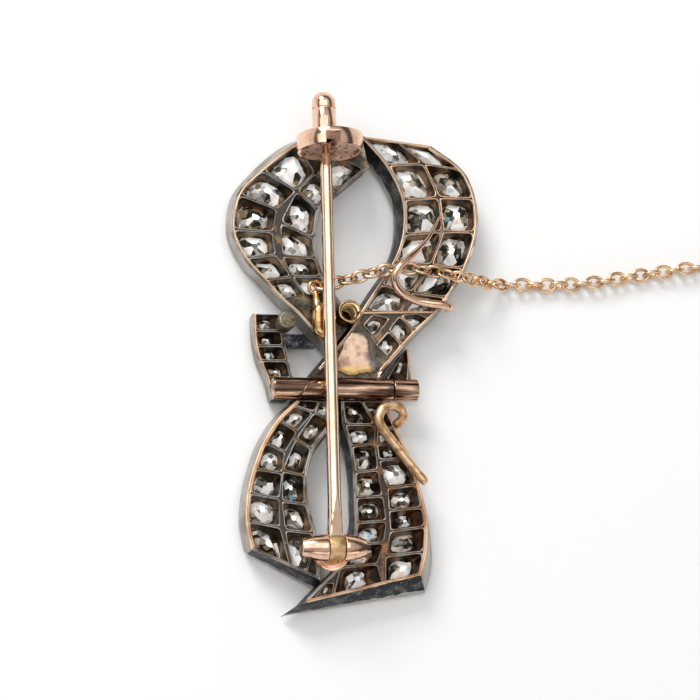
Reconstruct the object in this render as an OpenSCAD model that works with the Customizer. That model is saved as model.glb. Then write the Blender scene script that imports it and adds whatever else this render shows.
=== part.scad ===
// Bow brooch in silver on gold with open-backed diamonds, lying face down with its back up.
// Units are millimetres, +Z is the brooch's back, and +Y points to the catch.
// Places are measured from a point near the middle of the bow, then the whole is moved so that
// it lies on z = 0 with the middle of its box over the origin.

/* [Placing] */
// From the bow's middle to the middle of the whole box, along X
box_middle_x = 17.25; // [10:0.05:25]
// From the bow's middle to the middle of the whole box, along Y
box_middle_y = -0.4; // [-3:0.05:3]
// Height of the table in the measures below
table_z = 0.3; // [0:0.05:0.3]

/* [Ribbon frames] */
// Height of the back rims
frame_back = 3.2; // [2.8:0.1:3.4]
// Height of the front's side edges
frame_front = 0.75; // [0.65:0.05:0.9]
// How far the band that crosses over the other stands above it
over_lift = 0.4; // [0.2:0.1:0.6]
// How far the rounded front bulges past its side edges
front_bulge = 0.4; // [0.2:0.02:0.4]
// Height of the knot's back rims
knot_back = 2.25; // [2:0.05:2.25]
// Width of the outer rims round a band
rim_wall = 0.34; // [0.25:0.01:0.45]
// Width of the bars between two stones
bar_wall = 0.28; // [0.2:0.01:0.4]
// Thickness of the front plate that holds the stones
plate_thick = 0.5; // [0.45:0.05:1]

/* [Stones] */
// Share of an opening that its stone fills
stone_fill = 0.93; // [0.8:0.01:0.94]
// Free space round a stone's girdle in its seat
seat_gap = 0.1; // [0.08:0.01:0.12]
// Largest stone radius
stone_max_r = 1.4; // [1:0.05:1.45]

/* [Pin and hinge] */
// Height of the pin's axis
pin_z = 5; // [4.95:0.05:5.1]
// Radius of the pin's plain stretch
pin_r = 0.54; // [0.45:0.01:0.56]
// Hinge axis, to the left of the bow's middle
hinge_x = -2.83; // [-2.9:0.01:-2.75]
// Hinge axis, below the bow's middle
hinge_y = -18.6; // [-18.8:0.1:-18.4]
// Where the pin enters the catch, along X
catch_x = -2.29; // [-2.35:0.01:-2.25]
// Radius of the hinge pin
axle_r = 0.3; // [0.25:0.01:0.35]
// Running clearance round the hinge pin
axle_gap = 0.04; // [0.03:0.01:0.06]

/* [Catch] */
// Radius of the catch drum
drum_r = 3; // [2.8:0.05:3.2]
// Thickness of the catch drum along the pin
drum_thick = 1.6; // [1.5:0.05:1.7]
// Near face of the catch drum, along Y
drum_y = 17.5; // [17.3:0.1:17.6]
// Radius of the plunger
plunger_r = 1.08; // [1:0.01:1.12]
// Running clearance round the plunger
plunger_gap = 0.04; // [0.03:0.01:0.06]
// How far the plunger can be pushed in
plunger_travel = 1.1; // [0.8:0.05:1.1]

/* [Fittings] */
// Radius of the cross tube
tube_r = 1; // [0.9:0.02:1]
// Inner radius of the threaded socket
socket_bore_r = 0.78; // [0.7:0.01:0.85]
// Outer radius of the threaded socket
socket_r = 1.05; // [1:0.01:1.1]

/* [Chain] */
// Outer length of a chain link
link_length = 1.92; // [1.9:0.01:1.96]
// Outer width of a chain link
link_width = 1.45; // [1.4:0.01:1.5]
// Radius of the link wire
link_wire_r = 0.16; // [0.14:0.01:0.16]
// Distance from one link to the next
link_pitch = 1.16; // [1.14:0.01:1.16]

/* [Hidden] */

$fn = 40;
EPS = 0.01;
FAR = 60;
GAP = 0.06;

over_back = frame_back + over_lift;
over_front = frame_front + over_lift * 0.6;
knot_front = frame_front - 0.05;
STATIONS = 20;
LOOP_POINTS = 12;
SQUARENESS = 0.42;
STONE_SIDES = 8;

// Bars of the bands. Columns: x and y of the bar's left end, x and y of its right end.
// The bands are named as the back shows them, and each runs from the catch to its tail end.
LOOP_LEFT_OUTER = [
    [-1.3, 19.7, -0.4, 17.8],
    [-4.5, 19.0, -2.8, 16.2],
    [-7.9, 16.4, -4.6, 14.4],
    [-10.1, 14.0, -6.4, 12.6],
    [-10.8, 10.7, -6.9, 10.5],
    [-9.7, 8.0, -6.7, 8.4],
    [-8.0, 6.0, -5.4, 6.4],
    [-6.5, 4.3, -4.2, 4.7],
];
LOOP_LEFT_INNER = [
    [-0.4, 17.8, 1.9, 16.6],
    [-2.8, 16.2, -0.75, 14.35],
    [-4.6, 14.4, -2.6, 12.6],
    [-6.2, 11.4, -3.05, 10.0],
    [-6.2, 8.3, -2.95, 8.2],
    [-5.4, 6.4, -2.5, 6.5],
    [-4.2, 4.7, -1.6, 4.9],
];
LOOP_RIGHT_INNER = [
    [1.4, 19.7, 4.7, 19.4],
    [3.7, 17.0, 7.2, 17.3],
    [5.1, 13.8, 8.5, 14.1],
    [5.0, 10.5, 8.7, 10.9],
    [4.0, 7.9, 7.5, 7.7],
    [2.6, 5.8, 5.6, 5.1],
    [0.8, 3.2, 4.4, 3.3],
];
LOOP_RIGHT_OUTER = [
    [4.7, 19.4, 8.0, 19.0],
    [7.2, 17.3, 10.9, 16.8],
    [8.5, 14.1, 12.0, 14.1],
    [8.7, 10.9, 12.0, 10.9],
    [7.5, 7.7, 10.8, 7.5],
    [5.6, 5.1, 9.0, 4.7],
    [4.4, 3.3, 7.9, 3.3],
];
// The slanting stretch between the loop and the cross tube
SLANT_INNER = [
    [1.7, 3.0, 3.5, 2.6],
    [0.8, 2.1, 2.0, 0.7],
];
SLANT_OUTER = [
    [6.0, 3.1, 7.2, 2.6],
    [4.4, 2.9, 5.8, 1.3],
    [3.2, 1.5, 4.6, 0.0],
    [2.0, 0.1, 3.4, -1.3],
];
LEFT_TAIL_OUTER = [
    [-5.3, -5.0, -3.3, -5.0],
    [-5.8, -5.4, -3.9, -6.1],
    [-7.1, -6.7, -5.4, -7.9],
    [-8.5, -8.8, -6.5, -9.7],
    [-9.5, -11.2, -6.9, -11.6],
    [-10.1, -13.4, -7.2, -13.9],
    [-10.3, -15.9, -7.2, -16.5],
    [-9.9, -18.4, -6.5, -19.8],
];
LEFT_TAIL_INNER = [
    [-3.3, -5.0, -1.4, -5.0],
    [-3.9, -6.1, -2.1, -6.9],
    [-5.6, -8.5, -4.0, -9.5],
    [-6.9, -11.4, -4.7, -11.8],
    [-7.1, -14.1, -4.7, -14.4],
    [-6.9, -16.7, -4.1, -17.0],
    [-6.4, -19.9, -3.9, -21.1],
];
RIGHT_TAIL_INNER = [
    [-1.3, -5.0, 0.6, -5.0],
    [-1.3, -7.1, 1.7, -7.1],
    [-0.7, -9.2, 1.7, -8.8],
    [-0.5, -11.5, 1.9, -11.2],
    [-0.5, -13.8, 2.2, -13.6],
    [-0.5, -16.0, 2.4, -15.8],
    [-0.9, -18.0, 2.1, -17.8],
    [-2.2, -20.0, 1.5, -19.7],
    [-3.0, -22.6, 1.9, -21.5],
];
RIGHT_TAIL_OUTER = [
    [0.6, -5.0, 2.7, -5.0],
    [1.8, -7.2, 3.7, -7.5],
    [1.8, -8.9, 4.3, -8.8],
    [1.9, -10.4, 4.8, -10.1],
    [2.5, -12.9, 5.5, -12.5],
    [2.6, -14.9, 5.9, -14.6],
    [2.6, -16.8, 6.1, -16.3],
    [2.1, -19.0, 5.9, -18.6],
    [2.0, -21.5, 5.3, -20.7],
];
RIGHT_TAIL_TIP = [
    [-3.4, -21.4, -2.6, -21.4],
    [-4.6, -22.9, -2.8, -22.6],
];
KNOT_LEFT_ROW = [
    [-8.9, 3.1, -6.2, 3.1],
    [-8.9, 1.6, -6.1, 1.6],
    [-8.8, 0.2, -6.0, 0.2],
    [-8.5, -1.2, -5.7, -1.2],
    [-7.9, -2.7, -5.4, -2.7],
];
KNOT_RIGHT_ROW = [
    [5.1, 0.1, 5.37, 0.1],
    [2.8, -2.8, 5.6, -2.8],
];

// Ends of the bands past their bars, as x and y
LOOP_LEFT_START_LEFT = [[1.6, 20.0]];
LOOP_LEFT_START_RIGHT = [[2.15, 16.85]];
LOOP_LEFT_END_LEFT = [[-4.8, 2.7], [-2.2, -0.3], [-1.0, -1.6]];
LOOP_LEFT_END_RIGHT = [[-0.3, 3.4], [0.6, 2.0]];
SLANT_END_LEFT = [[-0.3, 1.4], [-2.1, -0.7], [-3.95, -2.88], [-5.35, -4.93]];
SLANT_END_RIGHT = [[5.8, 1.3], [3.4, -1.3], [2.2, -2.88], [2.6, -4.93]];
RIGHT_TAIL_END_LEFT = [[-3.9, -21.6], [-5.5, -23.2]];
KNOT_END_LEFT = [[-7.45, -4.75]];
KNOT_END_RIGHT = [[-6.0, -4.75]];
KNOT_BAR = [[-6.2, 0.15], [-3.25, 0.15], [-4.25, 1.3], [-6.2, 1.3]];
KNOT_BAR_DEPTH = 0.9;
KNOT_RIGHT_EDGE = [[5.12, 0.1], [5.37, 0.1], [5.6, -2.85], [2.68, -2.85]];
SOLDER_EDGE = [[-1.5, -1.9], [1.2, -1.5], [1.8, -1.8], [1.6, -2.2], [0.2, -2.7], [-1.5, -2.7]];

// How far the front edges stand outside the back rims, from the start of a band to its end
NO_FLARE = [0, 0];
PLAIN_FLARE = [0.35, 0.35];
LOOP_LEFT_FLARE = [0.85, 0.85, 0.7, 0.55, 0.25, 0, -0.05, -0.08, -0.08, -0.05, 0, 0];
LOOP_RIGHT_FLARE = [0.5, 0.4, 0.3, 0.35, 0.35, 0.4];
LEFT_TAIL_FLARE = [0.4, 0.35, 0.2, 0.25];
RIGHT_TAIL_FLARE = [0.2, 0.2, 0.1, 0, 0.02, 0.25, 0.3, 0.35, 0.35];
RIGHT_TAIL_OUTER_FLARE = [0.35, 0.35, 0.4, 0.5, 0.7, 0.85, 0.9, 1.2, 1.6];
NO_PUSH = [[0, 0], [0, 0]];
// How far the slanting end faces reach past the rims, at the left and at the right corner
LEFT_TAIL_PUSH = [[0.2, -0.15], [0, -0.5]];
RIGHT_TAIL_PUSH = [[-1.15, -0.7], [-0.6, -1.55]];

// Fittings
drum_x = catch_x + 0.39;
drum_z = pin_z + 0.3;
drum_far = drum_y + drum_thick;
DRUM_FOOT_Z = frame_back + 0.04;
DRUM_LIP = 0.35;
DRUM_RECESS = 0.35;
pin_reach = drum_y + 0.9 - hinge_y;
stem_turn = atan((catch_x - hinge_x) / (drum_y - hinge_y));
PLUNGER_START = drum_y + 1.15;
PLUNGER_END = 23.27;
PLUNGER_BORE_R = 0.66;
KNUCKLE_WIDTH = 1.4;
KNUCKLE_R = 1.1;
LUG_R = 1.2;
LUG_GAP = 0.05;
HINGE_BASE_Z = frame_back + 0.04;
HINGE_BASE_TOP = frame_back + 0.4;
TUBE_Y = -3.95;
TUBE_Z = knot_back + tube_r + 0.05;
TUBE_LEFT = -7.6;
TUBE_SEAM = 3.38;
TUBE_RIGHT = 5.7;
TUBE_GROOVE = 0.13;
SOCKET = [-0.5, 2.95];
SOCKET_Z = [1.1, 4.6];
SOCKET_ROOM = 0.08;
STUD = [-6.15, 2.15];
STUD_R = 0.82;
STUD_TOP = 4.25;
HOOK_SIDES = 8;

// Hand-bent wires, as x, y and z
UPPER_HOOK = [[9.1, 3.75, 3.1], [8.95, 3.7, 3.9], [8.2, 3.85, 4.15], [7.1, 3.95, 4.15],
    [5.8, 4.15, 4.2], [4.6, 4.6, 4.5], [3.75, 5.3, 5.0], [3.5, 6.1, 5.5], [3.95, 6.9, 5.75],
    [4.95, 7.8, 5.6], [6.05, 8.8, 5.2], [7.2, 10.1, 4.7], [8.35, 12.1, 4.3]];
LOWER_HOOK = [[3.15, -6.85, 3.62], [3.7, -7.15, 3.86], [4.05, -6.6, 4.1], [3.8, -5.9, 4.2],
    [3.0, -5.6, 4.3], [2.15, -5.95, 4.4], [1.75, -6.8, 4.4], [2.1, -7.7, 4.2],
    [3.0, -8.8, 4.0], [4.1, -10.2, 3.9], [5.0, -11.3, 3.85], [5.8, -12.3, 3.85]];
RING_MIDDLE = [-2.74, 2.2, 3.84];
RING_HALF_WIDTH = 0.55;
RING_STRAIGHT = 1.3;
RING_WIRE_R = 0.52;
EYE_MIDDLE = [-3.45, 5.25, 3.82];
EYE_R = 0.56;
EYE_WIRE_R = 0.17;
CHAIN_ROUTE = [[-2.65, 5.45, 3.84], [-0.9, 5.9, 3.86], [0.9, 6.4, 3.95], [2.8, 6.9, 4.1],
    [4.6, 7.1, 4.32], [6.5, 7.0, 4.36], [8.5, 6.7, 4.36], [10.2, 6.4, 4.34],
    [11.6, 6.3, 3.8], [12.9, 6.35, 2.7], [14.2, 6.5, 1.7], [15.5, 6.7, 1.15],
    [18.0, 6.7, 1.05], [20.9, 6.8, 1.05], [23.7, 7.1, 1.05], [26.7, 7.6, 1.05],
    [29.7, 8.1, 1.05], [33.1, 8.7, 1.05], [36.1, 9.0, 1.05]];
ROUTE_STEPS = 144;
LINK_POINTS = 12;
LINK_SIDES = 5;

// Helpers for points and curves
function unit(v) = v / norm(v);
function lerp(a, b, t) = a + (b - a) * t;
function first(list, n) = [for (i = [0:n - 1]) list[i]];
function flat_list(lists) = [for (list = lists) for (item = list) item];
function clamp_at(path, i) = path[max(0, min(len(path) - 1, i))];
// A smooth curve through the points of a path, at s from 0 to the number of its gaps
function curve(path, s) =
    let (i = max(0, min(len(path) - 2, floor(s))), t = s - i)
    let (a = clamp_at(path, i - 1), b = path[i], c = path[i + 1], d = clamp_at(path, i + 2))
    0.5 * (2 * b + (c - a) * t + (2 * a - 5 * b + 4 * c - d) * t * t
        + (3 * b - a - 3 * c + d) * t * t * t);
function along_curve(path, u) = curve(path, u * (len(path) - 1));
function sampled(path, steps) = [for (k = [0:steps]) along_curve(path, k / steps)];
function left_ends(bars) = [for (bar = bars) [bar[0], bar[1]]];
function right_ends(bars) = [for (bar = bars) [bar[2], bar[3]]];
function signed_power(value, exponent) = sign(value) * pow(abs(value), exponent);

// One opening between bar i and bar i + 1: across runs from the left end to the right
function cell_point(bars, i, along, across) =
    lerp(curve(left_ends(bars), i + along), curve(right_ends(bars), i + along), across);
function cell_across(bars, i) = norm(cell_point(bars, i, 0.5, 1) - cell_point(bars, i, 0.5, 0));
function cell_along(bars, i) = norm(cell_point(bars, i, 1, 0.5) - cell_point(bars, i, 0, 0.5));
function cell_outline(bars, i, wall_left, wall_right) =
    let (across = cell_across(bars, i), along = cell_along(bars, i))
    let (from = wall_left / across, to = 1 - wall_right / across, margin = bar_wall / 2 / along)
    [for (k = [0:LOOP_POINTS - 1]) let (a = (k + 0.5) * 360 / LOOP_POINTS)
        cell_point(bars, i,
            0.5 + (0.5 - margin) * signed_power(sin(a), SQUARENESS),
            (from + to) / 2 + (to - from) / 2 * signed_power(cos(a), SQUARENESS))];
function stone_middle(bars, i, wall_left, wall_right) =
    cell_point(bars, i, 0.5, 0.5 + (wall_left - wall_right) / 2 / cell_across(bars, i));
function line_distance(p, a, b) = abs(cross(b - a, p - a)) / norm(b - a);
function stone_r(bars, i, wall_left, wall_right) =
    let (middle = stone_middle(bars, i, wall_left, wall_right))
    let (near_left = cell_point(bars, i, 0, 0), near_right = cell_point(bars, i, 0, 1))
    let (far_left = cell_point(bars, i, 1, 0), far_right = cell_point(bars, i, 1, 1))
    min(stone_max_r, stone_fill * min(
        line_distance(middle, near_left, far_left) - wall_left,
        line_distance(middle, near_right, far_right) - wall_right,
        line_distance(middle, near_left, near_right) - bar_wall / 2,
        line_distance(middle, far_left, far_right) - bar_wall / 2));

// A closed band between two edges: flat back, walls that flare to the front, rounded front.
// The points of a ring run round it: two at the back, three at the front.
function band_ring(left, right, back, front, flares, push) =
    let (side = unit(right - left))
    let (front_left = left - side * flares[0] + push[0])
    let (front_right = right + side * flares[1] + push[1])
    [
        concat(left, back),
        concat(right, back),
        concat(front_right, front),
        concat((front_left + front_right) / 2, front - front_bulge),
        concat(front_left, front),
    ];
function band_rings(left, right, back, front, flare_left, flare_right, push_end) =
    [for (k = [0:STATIONS]) let (u = k / STATIONS)
        band_ring(along_curve(left, u), along_curve(right, u), back, front,
            [along_curve(flare_left, u), along_curve(flare_right, u)],
            k == STATIONS ? push_end : NO_PUSH)];
function quad(a, b, c, d) = [[a, b, c], [a, c, d]];

module band(left, right, back, front, flare_left, flare_right, push_end) {
    rings = band_rings(left, right, back, front, flare_left, flare_right, push_end);
    sides = len(rings[0]);
    last = STATIONS * sides;
    walls = flat_list([for (k = [0:STATIONS - 1]) for (j = [0:sides - 1])
        let (near = k * sides, far = near + sides, next = (j + 1) % sides)
        quad(near + j, near + next, far + next, far + j)]);
    start = [for (j = [1:sides - 2]) [0, j + 1, j]];
    end = [for (j = [1:sides - 2]) [last, last + j, last + j + 1]];
    polyhedron(points = flat_list(rings), faces = concat(walls, start, end), convexity = 4);
}

// The floor plan of all that lies to the right of a band's left front edge, with a small gap
module right_of_edge(left, right, flare_left, push_end) {
    rings = band_rings(left, right, 0, 0, flare_left, PLAIN_FLARE, push_end);
    edge = [for (ring = rings) let (side = unit(ring[2] - ring[4]))
        [ring[4][0] - side[0] * GAP, ring[4][1] - side[1] * GAP]];
    bottom = edge[STATIONS][1];
    top = edge[0][1];
    translate([0, 0, -1]) linear_extrude(height = FAR)
        polygon(concat([[edge[0][0], top + 3]], edge, [[FAR, bottom], [FAR, top + 3]]));
}

// The openings of one row: a squared window behind, and a round seat through the front plate
module openings(bars, wall_left, wall_right, front, start = 0) {
    for (i = [start:len(bars) - 2]) {
        middle = stone_middle(bars, i, wall_left, wall_right);
        translate([0, 0, front + plate_thick])
            linear_extrude(height = FAR) polygon(cell_outline(bars, i, wall_left, wall_right));
        translate([middle[0], middle[1], -1])
            cylinder(r = stone_r(bars, i, wall_left, wall_right) + seat_gap,
                h = front + plate_thick + 1 + EPS);
    }
}

// A brilliant lying on its table. Columns: radius and height, as shares of the girdle radius.
STONE_RINGS = [
    [0.55, 0],
    [1, 0.45],
    [1, 0.53],
    [0.12, 1.6],
];
module stone(r) {
    sides = STONE_SIDES;
    last = (len(STONE_RINGS) - 1) * sides;
    points = [for (ring = STONE_RINGS) for (j = [0:sides - 1]) let (a = j * 360 / sides)
        r * [ring[0] * cos(a), ring[0] * sin(a), ring[1]]];
    walls = [for (k = [0:len(STONE_RINGS) - 2]) for (j = [0:sides - 1])
        let (low = k * sides, high = low + sides, next = (j + 1) % sides)
        [low + j, high + j, high + next, low + next]];
    table = [for (j = [0:sides - 1]) j];
    culet = [for (j = [0:sides - 1]) last + sides - 1 - j];
    polyhedron(points = points, faces = concat([table, culet], walls), convexity = 2);
}

// Small stones sit a little deeper in the plate, so that all girdles are near one height
STONE_SINK = 0.4;
module stones(bars, wall_left, wall_right, front, start = 0) {
    for (i = [start:len(bars) - 2]) {
        middle = stone_middle(bars, i, wall_left, wall_right);
        r = stone_r(bars, i, wall_left, wall_right);
        translate([middle[0], middle[1],
            front - front_bulge + GAP + STONE_SINK * (stone_max_r - r)])
            stone(r);
    }
}

// A round wire along a path, open with two flat ends, or closed on itself
function wire_ring(p, tangent, r, sides, up_hint) =
    let (side = unit(cross(tangent, up_hint)), up = cross(side, tangent))
    [for (j = [0:sides - 1]) let (a = (j + 0.5) * 360 / sides)
        p + r * (cos(a) * side + sin(a) * up)];
module wire(path, r_start, r_end, sides, up_hint = [0, 0, 1]) {
    n = len(path);
    last = (n - 1) * sides;
    rings = [for (k = [0:n - 1])
        wire_ring(path[k], unit(path[min(k + 1, n - 1)] - path[max(k - 1, 0)]),
            lerp(r_start, r_end, k / (n - 1)), sides, up_hint)];
    walls = flat_list([for (k = [0:n - 2]) for (j = [0:sides - 1])
        let (near = k * sides, far = near + sides, next = (j + 1) % sides)
        quad(near + j, far + j, far + next, near + next)]);
    start = [for (j = [1:sides - 2]) [0, j, j + 1]];
    end = [for (j = [1:sides - 2]) [last, last + j + 1, last + j]];
    polyhedron(points = flat_list(rings), faces = concat(walls, start, end), convexity = 6);
}
module closed_wire(path, r, sides, up_hint = [0, 0, 1]) {
    n = len(path);
    rings = [for (k = [0:n - 1])
        wire_ring(path[k], unit(path[(k + 1) % n] - path[(k + n - 1) % n]), r, sides, up_hint)];
    walls = flat_list([for (k = [0:n - 1]) for (j = [0:sides - 1])
        let (near = k * sides, far = (k + 1) % n * sides, next = (j + 1) % sides)
        quad(near + j, far + j, far + next, near + next)]);
    polyhedron(points = flat_list(rings), faces = walls, convexity = 6);
}
// A flat ring of round wire with two straight sides along Y
module oblong_ring(half_width, straight, r) {
    for (end = [0, 1])
        rotate([0, 0, end * 180]) translate([0, straight / 2, 0])
            rotate_extrude(angle = 180) translate([half_width, 0]) circle(r = r);
    for (side = [-1, 1])
        translate([side * half_width, -straight / 2, 0]) along_y(r, r, straight);
}
module round_ring(ring_r, wire_r) {
    rotate_extrude() translate([ring_r, 0]) circle(r = wire_r);
}

module placed() {
    translate([-box_middle_x, -box_middle_y, -table_z]) children();
}

// The bow's bands
slant_left = concat(left_ends(LOOP_RIGHT_INNER), SLANT_END_LEFT);
slant_right = concat(right_ends(LOOP_RIGHT_OUTER), SLANT_END_RIGHT);
right_tail_left = concat(first(left_ends(RIGHT_TAIL_INNER), 8), RIGHT_TAIL_END_LEFT);
right_tail_right = right_ends(RIGHT_TAIL_OUTER);

module socket_hole() {
    translate([SOCKET[0], SOCKET[1], -1]) cylinder(r = socket_r + SOCKET_ROOM, h = FAR);
}

// The step in the upper band's end that the cross tube lies in
module tube_step() {
    translate([-FAR / 2, TUBE_Y + tube_r + GAP / 2 - FAR, TUBE_Z - tube_r - GAP / 2])
        cube([FAR, FAR, FAR]);
}

module loop_left_band() {
    color("dimgray") placed() difference() {
        band(concat(LOOP_LEFT_START_LEFT, left_ends(LOOP_LEFT_OUTER), LOOP_LEFT_END_LEFT),
            concat(LOOP_LEFT_START_RIGHT, right_ends(LOOP_LEFT_INNER), LOOP_LEFT_END_RIGHT),
            frame_back, frame_front, LOOP_LEFT_FLARE, NO_FLARE, NO_PUSH);
        right_of_edge(slant_left, slant_right, LOOP_RIGHT_FLARE, NO_PUSH);
        openings(LOOP_LEFT_OUTER, rim_wall, bar_wall / 2, frame_front, 1);
        openings(LOOP_LEFT_INNER, bar_wall / 2, rim_wall, frame_front);
        socket_hole();
    }
}

module loop_right_band() {
    color("dimgray") placed() difference() {
        union() {
            band(slant_left, slant_right, over_back, over_front, LOOP_RIGHT_FLARE, PLAIN_FLARE,
                NO_PUSH);
            translate([0, 0, over_back - EPS]) linear_extrude(height = 0.13)
                polygon(SOLDER_EDGE);
        }
        openings(LOOP_RIGHT_INNER, rim_wall, bar_wall / 2, over_front);
        openings(LOOP_RIGHT_OUTER, bar_wall / 2, rim_wall, over_front);
        openings(SLANT_INNER, bar_wall, bar_wall / 2, over_front);
        openings(SLANT_OUTER, bar_wall / 2, rim_wall, over_front);
        socket_hole();
        tube_step();
    }
}

module left_tail() {
    color("dimgray") placed() difference() {
        band(left_ends(LEFT_TAIL_OUTER), right_ends(LEFT_TAIL_INNER),
            frame_back, frame_front, LEFT_TAIL_FLARE, PLAIN_FLARE, LEFT_TAIL_PUSH);
        right_of_edge(right_tail_left, right_tail_right, RIGHT_TAIL_FLARE, RIGHT_TAIL_PUSH);
        openings(LEFT_TAIL_OUTER, rim_wall, bar_wall / 2, frame_front);
        openings(LEFT_TAIL_INNER, bar_wall / 2, rim_wall, frame_front);
    }
}

module right_tail() {
    color("dimgray") placed() difference() {
        band(right_tail_left, right_tail_right, frame_back, frame_front, RIGHT_TAIL_FLARE,
            RIGHT_TAIL_OUTER_FLARE, RIGHT_TAIL_PUSH);
        openings(RIGHT_TAIL_INNER, rim_wall, bar_wall / 2, frame_front);
        openings(RIGHT_TAIL_OUTER, bar_wall / 2, rim_wall, frame_front);
        openings(RIGHT_TAIL_TIP, bar_wall / 2, bar_wall / 2, frame_front);
    }
}

module knot_left() {
    color("dimgray") placed() {
        difference() {
            band(concat(left_ends(KNOT_LEFT_ROW), KNOT_END_LEFT),
                concat(right_ends(KNOT_LEFT_ROW), KNOT_END_RIGHT),
                knot_back, knot_front, NO_FLARE, NO_FLARE, NO_PUSH);
            openings(KNOT_LEFT_ROW, rim_wall, rim_wall, knot_front);
        }
        translate([0, 0, knot_back - KNOT_BAR_DEPTH])
            linear_extrude(height = KNOT_BAR_DEPTH - EPS) polygon(KNOT_BAR);
    }
}

module knot_right() {
    color("dimgray") placed() difference() {
        translate([0, 0, knot_front])
            linear_extrude(height = knot_back - knot_front) polygon(KNOT_RIGHT_EDGE);
        openings(KNOT_RIGHT_ROW, bar_wall, bar_wall, knot_front);
    }
}

// The stones, one field to each band
module loop_left_stones() {
    color("aliceblue") placed() {
        stones(LOOP_LEFT_OUTER, rim_wall, bar_wall / 2, frame_front, 1);
        stones(LOOP_LEFT_INNER, bar_wall / 2, rim_wall, frame_front);
    }
}

module loop_right_stones() {
    color("aliceblue") placed() {
        stones(LOOP_RIGHT_INNER, rim_wall, bar_wall / 2, over_front);
        stones(LOOP_RIGHT_OUTER, bar_wall / 2, rim_wall, over_front);
        stones(SLANT_INNER, bar_wall, bar_wall / 2, over_front);
        stones(SLANT_OUTER, bar_wall / 2, rim_wall, over_front);
    }
}

module left_tail_stones() {
    color("aliceblue") placed() {
        stones(LEFT_TAIL_OUTER, rim_wall, bar_wall / 2, frame_front);
        stones(LEFT_TAIL_INNER, bar_wall / 2, rim_wall, frame_front);
    }
}

module right_tail_stones() {
    color("aliceblue") placed() {
        stones(RIGHT_TAIL_INNER, rim_wall, bar_wall / 2, frame_front);
        stones(RIGHT_TAIL_OUTER, bar_wall / 2, rim_wall, frame_front);
        stones(RIGHT_TAIL_TIP, bar_wall / 2, bar_wall / 2, frame_front);
    }
}

module knot_stones() {
    color("aliceblue") placed() {
        stones(KNOT_LEFT_ROW, rim_wall, rim_wall, knot_front);
        stones(KNOT_RIGHT_ROW, bar_wall, bar_wall, knot_front);
    }
}

// Catch, pin and hinge
module along_y(r_start, r_end, length) {
    rotate([-90, 0, 0]) cylinder(r1 = r_start, r2 = r_end, h = length);
}

module catch_drum() {
    slot = 2 * pin_r + 0.26;
    color("rosybrown") placed() difference() {
        translate([drum_x, drum_y, drum_z]) along_y(drum_r, drum_r, drum_thick);
        translate([drum_x, drum_y - 1, drum_z])
            along_y(drum_r - DRUM_LIP, drum_r - DRUM_LIP, 1 + DRUM_RECESS);
        translate([catch_x, drum_y - 1, pin_z])
            along_y(plunger_r + plunger_gap, plunger_r + plunger_gap, FAR);
        translate([catch_x - slot / 2, drum_y - 1, pin_z])
            cube([slot, PLUNGER_START - drum_y + 1, FAR]);
        translate([-FAR / 2, -FAR / 2, DRUM_FOOT_Z - FAR]) cube([FAR, FAR, FAR]);
    }
}

module catch_plunger() {
    groove = 0.08;
    cap = 1.69;
    color("rosybrown") placed() translate([catch_x, 0, pin_z]) difference() {
        union() {
            translate([0, PLUNGER_START, 0])
                along_y(plunger_r, plunger_r, PLUNGER_END - plunger_r - PLUNGER_START);
            translate([0, PLUNGER_END - plunger_r, 0]) sphere(r = plunger_r);
        }
        translate([0, PLUNGER_START - 1, 0])
            along_y(PLUNGER_BORE_R, PLUNGER_BORE_R, plunger_travel + 1.4);
        translate([0, PLUNGER_END - cap, 0]) difference() {
            along_y(plunger_r + 1, plunger_r + 1, groove);
            translate([0, -1, 0]) along_y(plunger_r - groove, plunger_r - groove, 3);
        }
    }
}

// The pin in its own line: distances run from the hinge axis to the tip
NECK_START = 0.7;
NECK_END = 1.5;
NECK_R = 0.62;
ROOT_R = 0.69;
ROOT_END = 4.4;
SHANK_R = 0.6;
STEM_MIDDLE = 16;
STEM_R = 0.58;
PLAIN_START = 25.7;
TIP_LENGTH = 2.4;
TIP_R = 0.22;
module pin_stem() {
    color("rosybrown") placed() translate([hinge_x, hinge_y, pin_z]) difference() {
        union() {
            translate([-KNUCKLE_WIDTH / 2, 0, 0]) rotate([0, 90, 0])
                cylinder(r = KNUCKLE_R, h = KNUCKLE_WIDTH);
            rotate([0, 0, -stem_turn]) {
                translate([0, NECK_START, 0]) along_y(NECK_R, ROOT_R, NECK_END - NECK_START);
                translate([0, NECK_END, 0]) along_y(ROOT_R, SHANK_R, ROOT_END - NECK_END);
                translate([0, ROOT_END, 0]) along_y(SHANK_R, STEM_R, STEM_MIDDLE - ROOT_END);
                translate([0, STEM_MIDDLE, 0])
                    along_y(STEM_R, pin_r, PLAIN_START - STEM_MIDDLE);
                translate([0, PLAIN_START, 0])
                    along_y(pin_r, pin_r, pin_reach - TIP_LENGTH - PLAIN_START);
                translate([0, pin_reach - TIP_LENGTH, 0])
                    along_y(pin_r, TIP_R, TIP_LENGTH - TIP_R);
                translate([0, pin_reach - TIP_R, 0]) sphere(r = TIP_R);
            }
        }
        translate([-FAR / 2, 0, 0]) rotate([0, 90, 0])
            cylinder(r = axle_r + axle_gap, h = FAR);
    }
}

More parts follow.
